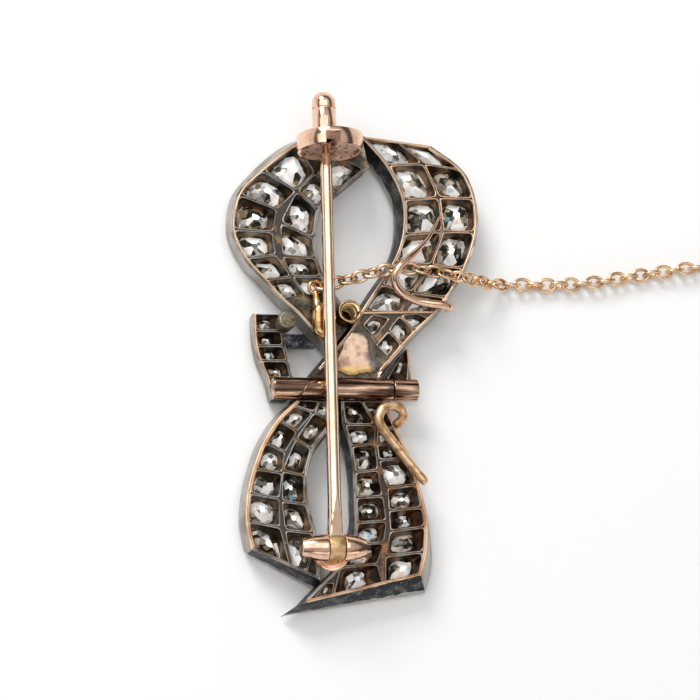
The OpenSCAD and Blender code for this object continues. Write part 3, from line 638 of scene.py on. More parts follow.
SLANT_OUTER = [
    [6.0, 3.1, 7.2, 2.6], [4.4, 2.9, 5.8, 1.3], [3.2, 1.5, 4.6, 0.0], [2.0, 0.1, 3.4, -1.3],
]
LEFT_TAIL_OUTER = [
    [-5.3, -5.0, -3.3, -5.0], [-5.8, -5.4, -3.9, -6.1], [-7.1, -6.7, -5.4, -7.9],
    [-8.5, -8.8, -6.5, -9.7], [-9.5, -11.2, -6.9, -11.6], [-10.1, -13.4, -7.2, -13.9],
    [-10.3, -15.9, -7.2, -16.5], [-9.9, -18.4, -6.5, -19.8],
]
LEFT_TAIL_INNER = [
    [-3.3, -5.0, -1.4, -5.0], [-3.9, -6.1, -2.1, -6.9], [-5.6, -8.5, -4.0, -9.5],
    [-6.9, -11.4, -4.7, -11.8], [-7.1, -14.1, -4.7, -14.4], [-6.9, -16.7, -4.1, -17.0],
    [-6.4, -19.9, -3.9, -21.1],
]
RIGHT_TAIL_INNER = [
    [-1.3, -5.0, 0.6, -5.0], [-1.3, -7.1, 1.7, -7.1], [-0.7, -9.2, 1.7, -8.8],
    [-0.5, -11.5, 1.9, -11.2], [-0.5, -13.8, 2.2, -13.6], [-0.5, -16.0, 2.4, -15.8],
    [-0.9, -18.0, 2.1, -17.8], [-2.2, -20.0, 1.5, -19.7], [-3.0, -22.6, 1.9, -21.5],
]
RIGHT_TAIL_OUTER = [
    [0.6, -5.0, 2.7, -5.0], [1.8, -7.2, 3.7, -7.5], [1.8, -8.9, 4.3, -8.8],
    [1.9, -10.4, 4.8, -10.1], [2.5, -12.9, 5.5, -12.5], [2.6, -14.9, 5.9, -14.6],
    [2.6, -16.8, 6.1, -16.3], [2.1, -19.0, 5.9, -18.6], [2.0, -21.5, 5.3, -20.7],
]
RIGHT_TAIL_TIP = [[-3.4, -21.4, -2.6, -21.4], [-4.6, -22.9, -2.8, -22.6]]
KNOT_LEFT_ROW = [
    [-8.9, 3.1, -6.2, 3.1], [-8.9, 1.6, -6.1, 1.6], [-8.8, 0.2, -6.0, 0.2],
    [-8.5, -1.2, -5.7, -1.2], [-7.9, -2.7, -5.4, -2.7],
]
KNOT_RIGHT_ROW = [[5.1, 0.1, 5.37, 0.1], [2.8, -2.8, 5.6, -2.8]]

# Ends of the bands past their bars, as x and y
LOOP_LEFT_START = [[1.6, 20.0]], [[2.15, 16.85]]
LOOP_LEFT_END = [[-4.8, 2.7], [-2.2, -0.3], [-1.0, -1.6]], [[-0.3, 3.4], [0.6, 2.0]]
SLANT_END = ([[-0.3, 1.4], [-2.1, -0.7], [-3.95, -2.88], [-5.35, -4.93]],
             [[5.8, 1.3], [3.4, -1.3], [2.2, -2.88], [2.6, -4.93]])
RIGHT_TAIL_END = [[-3.9, -21.6], [-5.5, -23.2]]
KNOT_END = [[-7.45, -4.75]], [[-6.0, -4.75]]
KNOT_BAR = [[-6.2, 0.15], [-3.25, 0.15], [-4.25, 1.3], [-6.2, 1.3]]
KNOT_RIGHT_EDGE = [[5.12, 0.1], [5.37, 0.1], [5.6, -2.85], [2.68, -2.85]]
CROSSING_BAR = [[0.95, 3.14], [7.4, 3.36]]

# How far the front edges stand outside the back rims, from the start of a band to its end
NO_FLARE = [0, 0]
PLAIN_FLARE = [0.35, 0.35]
LOOP_LEFT_FLARE = [0.85, 0.85, 0.7, 0.55, 0.25, 0, -0.05, -0.08, -0.08, -0.05, 0, 0]
LOOP_RIGHT_FLARE = [0.5, 0.4, 0.3, 0.35, 0.35, 0.4]
LEFT_TAIL_FLARE = [0.4, 0.35, 0.2, 0.25]
RIGHT_TAIL_FLARE = [0.2, 0.2, 0.1, 0, 0.02, 0.25, 0.3, 0.35, 0.35]
RIGHT_TAIL_OUTER_FLARE = [0.35, 0.35, 0.4, 0.5, 0.7, 0.85, 0.9, 1.2, 1.6]

# How far the front corners at a band's end stand out, left and right, as x and y
NO_PUSH = [[0, 0], [0, 0]]
LEFT_TAIL_PUSH = [[0.2, -0.15], [0, -0.5]]
RIGHT_TAIL_PUSH = [[-1.15, -0.7], [-0.6, -1.55]]


def left_ends(bars):
    return [bar[:2] for bar in bars]


def right_ends(bars):
    return [bar[2:] for bar in bars]


class Band:
    """A band between two rails: its back rims, and its front edges that stand outside them."""

    def __init__(self, left, right, back, front, flares, push=NO_PUSH):
        self.left = sampled(left, STATIONS)
        self.right = sampled(right, STATIONS)
        self.back = back
        self.front = front
        self.low_left = []
        self.low_right = []
        flare_left, flare_right = (sampled(flare, STATIONS) for flare in flares)
        for k in range(STATIONS + 1):
            side = unit(self.right[k] - self.left[k])
            share = 1.0 if k == STATIONS else 0.0
            self.low_left.append(self.left[k] - side * flare_left[k] + share * np.array(push[0]))
            self.low_right.append(self.right[k] + side * flare_right[k]
                                  + share * np.array(push[1]))

    def outline(self, left, right):
        """The closed outline: down the left rail, across the end, and back up the right."""
        return (left + straight(left[-1], right[-1], END_POINTS)[1:-1] + right[::-1]
                + straight(right[0], left[0], END_POINTS)[1:-1])

    def front_height(self, points):
        """Height of the rounded front at each point."""
        to_left = nearest(points, self.low_left)
        to_right = nearest(points, self.low_right)
        share = to_left / np.maximum(to_left + to_right, 1e-9)
        return self.front - FRONT_BULGE * (4 * share * (1 - share)) ** 0.8

    def right_of_edge(self):
        """The floor plan of all that lies to the right of the left front edge."""
        edge = [tuple(left - unit(right - left) * EDGE_GAP)
                for left, right in zip(self.low_left, self.low_right)]
        top = edge[0][1] + 3
        return [(edge[0][0], top)] + edge + [(FAR, edge[-1][1]), (FAR, top)]


def nearest(points, line):
    """Distance from each point to a line of points."""
    p = np.array(points, float)[:, None, :]
    a = np.array(line[:-1], float)[None]
    d = np.array(line[1:], float)[None] - a
    t = np.clip(((p - a) * d).sum(2) / np.maximum((d * d).sum(2), 1e-12), 0, 1)
    return np.linalg.norm(p - a - d * t[..., None], axis=2).min(1)


CELL_POINTS = 32
# Levels of a cell's wall. Columns: depth below the back rim, inset from the wall, share of the
# stone's own inset that is added, squareness.
CELL_LEVELS = [
    [0.13, -0.125, 0.0, 0.2],
    [0.02, -0.115, 0.0, 0.2],
    [0.0, -0.09, 0.0, 0.2],
    [0.0, -0.035, 0.0, 0.21],
    [0.03, -0.005, 0.0, 0.22],
    [0.2, 0.0, 0.0, 0.24],
    [0.55, 0.02, 0.15, 0.3],
    [1.0, 0.04, 0.5, 0.42],
    [1.35, 0.06, 0.9, 0.55],
]
LIP_LEVELS = 6
WEAR_REACH = 0.1
DEEP_FROM = 0.2
DEEP_REACH = 0.5
PLAIN_DEPTH = 0.13
PLAIN_DIP = 0.06
PLAIN_STEP = 0.35
PLAIN_REACH = 0.45
GIRDLE_DEPTH = 1.22
LOOP_STONE_INSET = 0.17
TAIL_STONE_INSET = 0.23
STONE_SQUARENESS = 0.66
STONE_ASPECT = 1.35
SEAT_ROOM = 0.09
SEAT_SQUARENESS = 0.7
SEAT_DEPTH = 0.3
HAND_SHIFT = 0.04
FRONT_SKIN = 0.01


class Cell:
    """One opening between two bars of a row, with its walls in millimetres."""

    def __init__(self, bars, i, wall_left, wall_right, stone_inset):
        self.stone_inset = stone_inset
        self.lefts = [np.array(p, float) for p in left_ends(bars)]
        self.rights = [np.array(p, float) for p in right_ends(bars)]
        self.i = i
        self.walls = (wall_left, wall_right)
        self.across = np.linalg.norm(self.at(0.5, 1) - self.at(0.5, 0))
        self.along = np.linalg.norm(self.at(1, 0.5) - self.at(0, 0.5))
        open_across = self.across - wall_left - wall_right - 2 * stone_inset
        open_along = self.along - BAR_WALL - 2 * stone_inset
        self.extra_across = max(0.0, open_across - open_along * STONE_ASPECT) / 2
        self.extra_along = max(0.0, open_along - open_across * STONE_ASPECT) / 2

    def at(self, along, across):
        left = curve(self.lefts, self.i + along)
        right = curve(self.rights, self.i + along)
        return left + (right - left) * across

    def loop(self, inset, share, squareness, count, turn=0.5):
        """A rounded outline inset from the opening's walls, and by this share to the stone."""
        inset = inset + share * self.stone_inset
        aside = inset + share * self.extra_across
        start = (self.walls[0] + aside) / self.across
        end = 1 - (self.walls[1] + aside) / self.across
        margin = (BAR_WALL / 2 + inset + share * self.extra_along) / self.along
        points = []
        for a in angles(count, turn):
            c, s = rounded(a, squareness)
            points.append(self.at(0.5 + (0.5 - margin) * s,
                                  (start + end) / 2 + (end - start) / 2 * c))
        return points


def row_cells(bars, walls, stone_inset, start=0):
    return [Cell(bars, i, *walls, stone_inset) for i in range(start, len(bars) - 1)]


def hand_made(p, amount):
    """The small unevenness of hand work, the same for the same place."""
    return noise.noise_vector(Vector((p[0] * 0.9, p[1] * 0.9, p[2] * 0.9 + 7.3))) * amount


def turns_left(outline):
    """Whether an outline runs counterclockwise."""
    return sum(a[0] * b[1] - b[0] * a[1] for a, b in zip(outline, outline[1:] + outline[:1])) > 0


def inside(outline, p):
    """Whether a point lies inside an outline."""
    found = False
    for (ax, ay), (bx, by) in zip(outline, outline[1:] + outline[:1]):
        if (ay > p[1]) != (by > p[1]) and p[0] < (bx - ax) * (p[1] - ay) / (by - ay) + ax:
            found = not found
    return found


def filled(shape, outlines, heights, finish, extra=()):
    """Fills the area inside the first outline and outside the others with triangles."""
    coords = [p for outline in outlines for p in outline]
    areas = []
    start = 0
    for outline in outlines:
        area = list(range(start, start + len(outline)))
        areas.append(area if turns_left(outline) else area[::-1])
        start += len(outline)
    coords = coords + list(extra)
    result = delaunay_2d_cdt([Vector((p[0], p[1])) for p in coords], [], areas, 1, 1e-5)
    spots, _, faces, sources, _, owners = result
    ids = shape.loop([(*spot, heights(spot, source)) for spot, source in zip(spots, sources)])
    for corners, owner in zip(faces, owners):
        if list(owner) == [0]:
            shape.face([ids[c] for c in corners], finish)


def plain_spots(outline, rings):
    """Points on the flat places between the cells, each with its share of the dip there."""
    low = np.min(np.array(outline), axis=0)
    high = np.max(np.array(outline), axis=0)
    grid = [(x, y) for x in np.arange(low[0], high[0], PLAIN_STEP)
            for y in np.arange(low[1], high[1], PLAIN_STEP)]
    edge = [tuple(p) for p in outline]
    grid = [p for p in grid if inside(edge, p)]
    gap = nearest(grid, edge + edge[:1])
    for ring in rings:
        flat = [p[:2] for p in ring]
        gap = np.minimum(gap, nearest(grid, flat + flat[:1]))
        gap = np.where([inside(flat, p) for p in grid], 0, gap)
    share = np.clip((gap - PLAIN_STEP / 2) / PLAIN_REACH, 0, 1)
    return [(*p, depth) for p, depth in zip(grid, share) if depth > 0]


def outer_walls(shape, tops, lows, wall_finishes, back, front):
    """The sloping walls from the back to the front, with a worn edge and small chips. On shaded
    sides the painted shade stops at the worn edge, and the band below it keeps the pale wall
    colour.
    """
    loops = []
    last = len(WALL_LEVELS) - 1
    for n, level in enumerate(WALL_LEVELS):
        wobble = WORN_EDGE_WOBBLE if n == last - 1 else 0.0
        chips = CHIPS if n == last else 0.0
        ring = []
        for top, low, finish in zip(tops, lows, wall_finishes):
            rough = noise.noise(Vector((low[0] * 2.5, low[1] * 2.5, 0.5)))
            share = level + wobble * rough
            outward = low - top
            size = np.linalg.norm(outward)
            away = outward / size if size > 0.02 else 0
            swell = WALL_SWELL * math.sin(math.pi * share)
            chipped = chips * max(0.0, rough) if finish == SHADED_SIDE else 0.0
            p = top + outward * share + away * (swell - chipped)
            ring.append((*p, back + (front + EDGE_RISE - back) * share))
        loops.append(shape.loop(ring))
    for low, high in zip(loops[:last], loops[1:last]):
        shape.strip(low, high, wall_finishes)
    shape.strip(loops[last - 1], loops[last], PALE)
    return loops[last]


def cell_walls(shape, cell, back, front, front_height):
    """One cell's lip, walls and seat. Returns its outline on the back and on the front."""
    rings = []
    for n, (depth, inset, share, squareness) in enumerate(CELL_LEVELS):
        ring = []
        for p in cell.loop(inset, share, squareness, CELL_POINTS):
            shift = hand_made((p[0], p[1], 0), HAND_SHIFT)
            drop = shift[2] if n < LIP_LEVELS else 0.0
            ring.append((p[0] + shift[0], p[1] + shift[1], back - depth + drop))
        rings.append(ring)
    seat = cell.loop(SEAT_ROOM, 1.0, SEAT_SQUARENESS, CELL_POINTS)
    rings.append([(*p, front + SEAT_DEPTH) for p in seat])
    rings.append([(*p, height) for p, height in zip(seat, front_height(seat))])
    shape.skin([shape.loop(ring) for ring in rings], IN_CELL)
    return rings[0], rings[-1]


def open_frame(tops, lows, wall_finishes, back, front, front_height, cells):
    """A frame with open cells: flat back, sloping walls, rounded front, seats for stones."""
    shape = Shape()
    edge = outer_walls(shape, tops, lows, wall_finishes, back, front)
    inner = []
    for p, before, after in zip(lows, lows[-1:] + lows[:-1], lows[1:] + lows[:1]):
        along = unit(after - before)
        inner.append(p + np.array((-along[1], along[0])) * EDGE_INSET)
    inner_heights = [min(h, front) - FRONT_SKIN for h in front_height(inner)]
    shape.strip(edge, shape.loop([(*p, h) for p, h in zip(inner, inner_heights)]), PALE)

    lips, seats = zip(*[cell_walls(shape, cell, back, front, front_height) for cell in cells])
    spots = plain_spots(tops, lips)
    back_known = [back] * len(tops) + [p[2] for ring in lips for p in ring]
    back_known += [back - PLAIN_DEPTH - PLAIN_DIP * depth for _, _, depth in spots]

    def back_height(_, source):
        return back_known[source[0]] if source else back - PLAIN_DEPTH

    filled(shape, [tops, *lips], back_height, IN_CELL, [spot[:2] for spot in spots])

    front_known = inner_heights + [p[2] for ring in seats for p in ring]

    def low_height(spot, source):
        if source and source[0] < len(front_known):
            return front_known[source[0]]
        return float(front_height([(spot[0], spot[1])])[0])

    filled(shape, [inner, *seats], low_height, PALE)
    return shape


def mark_wear(mesh, back):
    """Says where a frame is rubbed bright, where its back is wide, and how deep a place lies."""
    top = placed((0, 0, back)).z
    depths = [(top - vertex.co.z) / MM for vertex in mesh.vertices]
    flats = []
    for vertex, depth in zip(mesh.vertices, depths):
        dip = (depth - PLAIN_DEPTH) / PLAIN_DIP
        flats.append(clipped(dip) if vertex.normal.z > 0.9 and dip < 1.1 else 0.0)
    give(mesh, "wear", "POINT", [clipped(1 - depth / WEAR_REACH) for depth in depths])
    give(mesh, "plain", "POINT", flats)
    give(mesh, "deep", "POINT", [clipped((depth - DEEP_FROM) / DEEP_REACH) for depth in depths])


def frame_piece(name, shape, back, cutters=(), cell_finish=CELL):
    """Builds an open frame as the node of this name."""
    thing = shape.build(name, [cell_finish, WALL, DARK])
    if cutters:
        cut_by(thing, cutters)
    mark_wear(thing.data, back)
    fitted(thing, name)


def band_piece(name, band, cells, sides, cutters=(), cell_finish=CELL):
    """The metal of one band. Sides: the finishes of its left wall, its ends and its right wall."""
    left, end, right = ([side] for side in sides)
    finishes = (left * STATIONS + end * END_POINTS + right * STATIONS + end * END_POINTS)
    shape = open_frame(band.outline(band.left, band.right),
                       band.outline(band.low_left, band.low_right),
                       finishes, band.back, band.front, band.front_height, cells)
    frame_piece(name, shape, band.back, cutters, cell_finish)


# Profile of a back rim. Columns: distance in from the wall, height over the back.
RIM_PROFILE = [
    [-0.03, -0.3], [-0.04, -0.1], [-0.035, -0.03], [0.0, 0.01], [0.06, 0.02], [0.09, 0.0],
    [0.105, -0.035], [0.12, -0.035], [0.135, 0.0], [0.17, 0.04], [0.215, 0.05], [0.26, 0.035],
    [0.29, -0.01], [0.3, -0.08], [0.3, -0.3],
]
SPLIT = 6
RIM_PARTS = [0] * SPLIT + [1] * (len(RIM_PROFILE) - SPLIT)
RIM_END = 53
SOCKET_STOP = 50


def rim(name, path, towards, back, finishes, scale=1.0, hidden=None):
    """A thin rim of sheet and wire along one edge of a band, cut off where it is hidden.

    Towards: the band's other rail, or the way from the edge into the band.
    """
    others = towards if isinstance(towards, list) else [p + np.array(towards) for p in path]
    keep = [k for k in range(len(path)) if hidden is None or not inside(hidden, path[k])]
    path = [path[k] for k in keep]
    others = [others[k] for k in keep]
    shape = Shape()
    loops = []
    for k, p in enumerate(path):
        along = unit(path[min(k + 1, len(path) - 1)] - path[max(k - 1, 0)])
        inward = np.array((-along[1], along[0]))
        if np.dot(others[k] - p, inward) < 0:
            inward = -inward
        drop = hand_made((p[0], p[1], back), 0.05)[2]
        loops.append(shape.loop([
            (*(p + inward * a * scale), back + h * scale + drop) for a, h in RIM_PROFILE]))
    shape.skin(loops, RIM_PARTS, 1)
    all_silver = finishes == [RIM_SILVER, RIM_SILVER]
    shape.further_piece(name, finishes, 50.0)


# The stones

GIRDLE_POINTS = 12
CULET_RISE = 0.6
# Painted brightness of the facets around the girdle.
GIRDLE_PAINTED_LIGHT = 0.3
# Levels of the facets. Columns: share of the width, share of the rise.
BACK_FACETS = [(0.8, 0.42), (0.26, 1.0)]
FRONT_FACETS = [(0.8, 0.5), (0.55, 1.0)]


def cut_side(shape, girdle, middle, rise, levels, chance, painted_facet_light):
    """Facets from the girdle to a small end facet, each with a painted brightness."""
    half = len(girdle) // 2
    mids = []
    ends = []
    for j in range(half):
        corner = shape.points[girdle[2 * j + 1]]
        for store, (width, height) in ((mids, levels[0]), (ends, levels[1])):
            spread = width * chance.uniform(0.85, 1.15)
            p = middle + (corner - middle) * spread
            p.z = corner.z + rise * height * chance.uniform(0.92, 1.08)
            store.append(p)
    mids = shape.loop(mids)
    end_height = sum(p.z for p in ends) / half
    ends = shape.loop([(p.x, p.y, end_height) for p in ends])
    whole = chance.uniform(-0.12, 0.14)
    for j in range(half):
        k = (j + 1) % half
        a, b, c = girdle[2 * j], girdle[2 * j + 1], girdle[(2 * j + 2) % len(girdle)]
        edge = whole + chance.uniform(0.1, 0.75)
        shape.face((a, b, mids[j]))
        shape.face((b, c, mids[j]))
        painted_facet_light.extend((edge, edge))
        main = whole + chance.choice((0.08, 0.3, 0.5, 0.7, 0.85, 1.0))
        shape.face((mids[j], c, mids[k]))
        shape.face((mids[j], mids[k], ends[k], ends[j]))
        painted_facet_light.extend((main, main))
    shape.face(ends)
    painted_facet_light.append(chance.choice((0.2, 0.95, 1.0)))


def stones(name, cells, back, front, seed, level=0.0):
    """The cushion-shaped old stones of one band, with painted facet light made brighter or darker
    by the level.
    """
    shape = Shape()
    painted_facet_light = []
    chance = random.Random(seed)
    for cell in cells:
        depth = GIRDLE_DEPTH + chance.uniform(-0.1, 0.14)
        outline = cell.loop(0.0, 1.0, STONE_SQUARENESS, GIRDLE_POINTS, chance.uniform(0.0, 1.0))
        size = min(cell.across, cell.along) / 2
        middle = Vector((*np.mean(outline, axis=0), 0))
        shift = Vector((chance.uniform(-0.12, 0.12), chance.uniform(-0.12, 0.12), 0)) * size
        high = shape.loop([(*p, back - depth) for p in outline])
        low_outline = [middle.xy + (Vector(p) - middle.xy) * 0.9 for p in outline]
        low = shape.loop([(*p, front + 0.22) for p in low_outline])
        shape.strip(high, low)
        painted_facet_light.extend([GIRDLE_PAINTED_LIGHT] * GIRDLE_POINTS)
        cut_side(shape, high, middle + shift, CULET_RISE * size, BACK_FACETS, chance, painted_facet_light)
        cut_side(shape, low, middle, -0.3, FRONT_FACETS, chance, painted_facet_light)
    thing = meshed(name, shape.points, shape.faces, [DIAMOND])
    give(thing.data, "painted_sparkle", "FACE", [clipped(share + level) for share in painted_facet_light])
    work = bmesh.new()
    work.from_mesh(thing.data)
    bmesh.ops.recalc_face_normals(work, faces=work.faces)
    work.to_mesh(thing.data)
    work.free()
    fitted(thing, name)


def make_bow():
    """The four bands, the knot's pieces and their stones and rims."""
    slant = Band(left_ends(LOOP_RIGHT_INNER) + SLANT_END[0],
                 right_ends(LOOP_RIGHT_OUTER) + SLANT_END[1], OVER_BACK, OVER_FRONT,
                 [LOOP_RIGHT_FLARE, PLAIN_FLARE])
    loop_left = Band(LOOP_LEFT_START[0] + left_ends(LOOP_LEFT_OUTER) + LOOP_LEFT_END[0],
                     LOOP_LEFT_START[1] + right_ends(LOOP_LEFT_INNER) + LOOP_LEFT_END[1],
                     FRAME_BACK, FRAME_FRONT, [LOOP_LEFT_FLARE, NO_FLARE])
    right_tail = Band(left_ends(RIGHT_TAIL_INNER)[:8] + RIGHT_TAIL_END,
                      right_ends(RIGHT_TAIL_OUTER), FRAME_BACK, FRAME_FRONT,
                      [RIGHT_TAIL_FLARE, RIGHT_TAIL_OUTER_FLARE], RIGHT_TAIL_PUSH)
    left_tail = Band(left_ends(LEFT_TAIL_OUTER), right_ends(LEFT_TAIL_INNER), FRAME_BACK,
                     FRAME_FRONT, [LEFT_TAIL_FLARE, PLAIN_FLARE], LEFT_TAIL_PUSH)
    knot = Band(left_ends(KNOT_LEFT_ROW) + KNOT_END[0], right_ends(KNOT_LEFT_ROW) + KNOT_END[1],
                KNOT_BACK, KNOT_FRONT, [NO_FLARE, NO_FLARE])

    outer = (RIM_WALL, BAR_WALL / 2)
    inner = (BAR_WALL / 2, RIM_WALL)
    loops, tails = LOOP_STONE_INSET, TAIL_STONE_INSET
    loop_left_cells = (row_cells(LOOP_LEFT_OUTER, outer, loops, 1)
                       + row_cells(LOOP_LEFT_INNER, inner, loops))
    slant_cells = (row_cells(LOOP_RIGHT_INNER, outer, loops)
                   + row_cells(LOOP_RIGHT_OUTER, inner, loops)
                   + row_cells(SLANT_INNER, (BAR_WALL, BAR_WALL / 2), loops)
                   + row_cells(SLANT_OUTER, inner, loops))
    left_tail_cells = (row_cells(LEFT_TAIL_OUTER, outer, tails)
                       + row_cells(LEFT_TAIL_INNER, inner, tails))
    right_tail_cells = (row_cells(RIGHT_TAIL_INNER, outer, tails)
                        + row_cells(RIGHT_TAIL_OUTER, inner, tails)
                        + row_cells(RIGHT_TAIL_TIP, (BAR_WALL / 2, BAR_WALL / 2), loops))
    knot_cells = row_cells(KNOT_LEFT_ROW, (RIM_WALL, RIM_WALL), tails)
    knot_right_cells = row_cells(KNOT_RIGHT_ROW, (BAR_WALL, BAR_WALL), loops)

    over_edge = slant.right_of_edge()
    tail_edge = right_tail.right_of_edge()
    x, y = SOCKET
    socket_hole = [(x + SOCKET_HOLE_R * math.cos(a), y + SOCKET_HOLE_R * math.sin(a))
                   for a in angles(48)]
    seat_r = DRUM_R + 0.04
    seat = turned_cutter([(-0.05, 0), (-0.05, seat_r), (1.65, seat_r), (1.65, 0)],
                         (DRUM_MIDDLE[0], DRUM_NEAR, DRUM_MIDDLE[1]), 96)
    tube_edge = TUBE_Y + TUBE_R + EDGE_GAP
    step = [(-STEP_REACH, tube_edge), (-STEP_REACH, -STEP_REACH), (STEP_REACH, -STEP_REACH),
            (STEP_REACH, tube_edge)]
    over_tube = TUBE_Z - TUBE_R - EDGE_GAP
    # Sides marked as shaded take the dark silver as painted shade: the ends, and the inner walls.
    band_piece("loop_left_band", loop_left, loop_left_cells, (PALE, SHADED_SIDE, SHADED_SIDE),
               [prism(over_edge, BELOW, ABOVE), prism(socket_hole, BELOW, ABOVE), seat])
    band_piece("loop_right_band", slant, slant_cells, (SHADED_SIDE, SHADED_SIDE, PALE),
               [prism(socket_hole, BELOW, ABOVE), prism(step, over_tube, ABOVE)], CELL_WARM)
    band_piece("left_tail", left_tail, left_tail_cells, (PALE, SHADED_SIDE, SHADED_SIDE),
               [prism(tail_edge, BELOW, ABOVE)])
    band_piece("right_tail", right_tail, right_tail_cells, (SHADED_SIDE, SHADED_SIDE, PALE), (), CELL_BROWN)
    band_piece("knot_left", knot, knot_cells, (PALE, SHADED_SIDE, SHADED_SIDE))

    corners = [np.array(corner) for corner in KNOT_RIGHT_EDGE]
    edge = []
    for a, b in zip(corners, corners[1:] + corners[:1]):
        edge.extend(straight(a, b, 8)[:-1])
    edge = edge[::-1]
    frame_piece("knot_right", open_frame(edge, edge, [PALE] * len(edge), KNOT_BACK, KNOT_FRONT,
                                         lambda points: np.full(len(points), KNOT_FRONT),
                                         knot_right_cells), KNOT_BACK)

    # The last number of each row shifts its stones' painted facet light brighter or darker.
    for name, cells, back, front, seed, level in (
            ("loop_left_stones", loop_left_cells, FRAME_BACK, FRAME_FRONT, 11, 0.05),
            ("loop_right_stones", slant_cells, OVER_BACK, OVER_FRONT, 23, 0.05),
            ("left_tail_stones", left_tail_cells, FRAME_BACK, FRAME_FRONT, 37, 0.0),
            ("right_tail_stones", right_tail_cells, FRAME_BACK, FRAME_FRONT, 41, -0.1),
            ("knot_stones", knot_cells + knot_right_cells, KNOT_BACK, KNOT_FRONT, 53, -0.05)):
        stones(name, cells, back, front, seed, level)

    silver = [RIM_SILVER, RIM_SILVER]
    silver_rose = [RIM_SILVER, RIM_ROSE]
    rose = [RIM_ROSE, RIM_ROSE]
    copper = [RIM_ROSE, RIM_COPPER]
    down, above, leftwards = (0, -1.0), (0, 1.0), (-1.0, 0)
    for row in (
            ("loop_left_outer_rim", loop_left.left, loop_left.right, FRAME_BACK, silver_rose,
             1.0, over_edge),
            ("loop_left_inner_rim", loop_left.right[:SOCKET_STOP], loop_left.left[:SOCKET_STOP],
             FRAME_BACK, silver, 0.8, over_edge),
            ("loop_right_inner_rim", slant.left[:RIM_END], slant.right[:RIM_END], OVER_BACK,
             [RIM_ROSE, RIM_SILVER], 0.85),
            ("loop_right_start_rim", straight(slant.left[0], slant.right[0], 30), down,
             OVER_BACK, rose, 0.6),
            ("loop_right_outer_rim", slant.right[:RIM_END], slant.left[:RIM_END], OVER_BACK,
             silver_rose, 0.95),
            ("crossing_bar_rim", sampled(CROSSING_BAR, 24), down, OVER_BACK, rose, 0.55),
            ("left_tail_outer_rim", left_tail.left, left_tail.right, FRAME_BACK, copper, 1.0),
            ("left_tail_inner_rim", left_tail.right[:-1], left_tail.left[:-1], FRAME_BACK,
             silver, 0.9, tail_edge),
            ("right_tail_inner_rim", right_tail.left[:-2], right_tail.right[:-2], FRAME_BACK,
             silver, 0.8),
            ("right_tail_outer_rim", right_tail.right, right_tail.left, FRAME_BACK, copper, 0.95),
            ("right_tail_end_rim", straight(right_tail.left[-1], right_tail.right[-1], 30)[1:],
             above, FRAME_BACK, copper, 0.8),
            ("left_tail_end_rim", straight(left_tail.left[-1], left_tail.right[-1], 30), above,
             FRAME_BACK, silver, 0.8, tail_edge),
            ("knot_outer_rim", knot.left, knot.right, KNOT_BACK, silver_rose, 1.0),
            ("knot_right_rim", sampled(KNOT_RIGHT_EDGE[1:3], 12), leftwards, KNOT_BACK,
             [RIM_COPPER, RIM_COPPER], 0.6)):
        rim(*row)


# Catch, pin and hinge

DRUM_RECESS = 0.35
SLOT_HALF = 0.67
SLOT_END = 18.65
BORE_R = 1.12
PLUNGER_START = 18.65
PLUNGER_END = 23.27
PLUNGER_R = 1.08
PLUNGER_STEM_R = 0.66
PLUNGER_CAP = 1.69
KNUCKLE_R = 1.1
KNUCKLE_HALF = 0.7
AXLE_R = 0.3
PIN_REACH = 37.0
PIN_SIDES = 40
FACET_LEAN = math.radians(9)
# The pin's stem. Columns: distance from the hinge, radius, share of the top that is filed away.
PIN_STATIONS = [
    [0.75, 0.64, 0.42], [1.2, 0.66, 0.4], [1.7, 0.69, 0.36], [2.4, 0.66, 0.28],
    [3.2, 0.63, 0.17], [4.2, 0.605, 0.05], [5.0, 0.6, 0.0], [9.0, 0.595, 0.0],
    [16.0, 0.58, 0.0], [25.7, 0.55, 0.0], [33.2, 0.54, 0.0], [34.6, 0.53, 0.0],
    [35.4, 0.44, 0.0], [36.2, 0.34, 0.0], [36.75, 0.24, 0.0], [36.95, 0.13, 0.0],
    [PIN_REACH, 0.03, 0.0],
]
LUG_GAP = 0.75
LUG_R = 1.2
BASE_MIDDLE = (-2.86, -18.65)
BASE_BACK_EDGE = -17.7
BASE_BEVEL = 0.09
BASE_TOP_SHARE = 0.94
# Steps of the hinge's base. Columns: radius, lower height, upper height.
BASE_STEPS = [(1.73, 3.24, 3.36), (1.52, 3.36, 3.5), (1.33, 3.5, 3.64)]


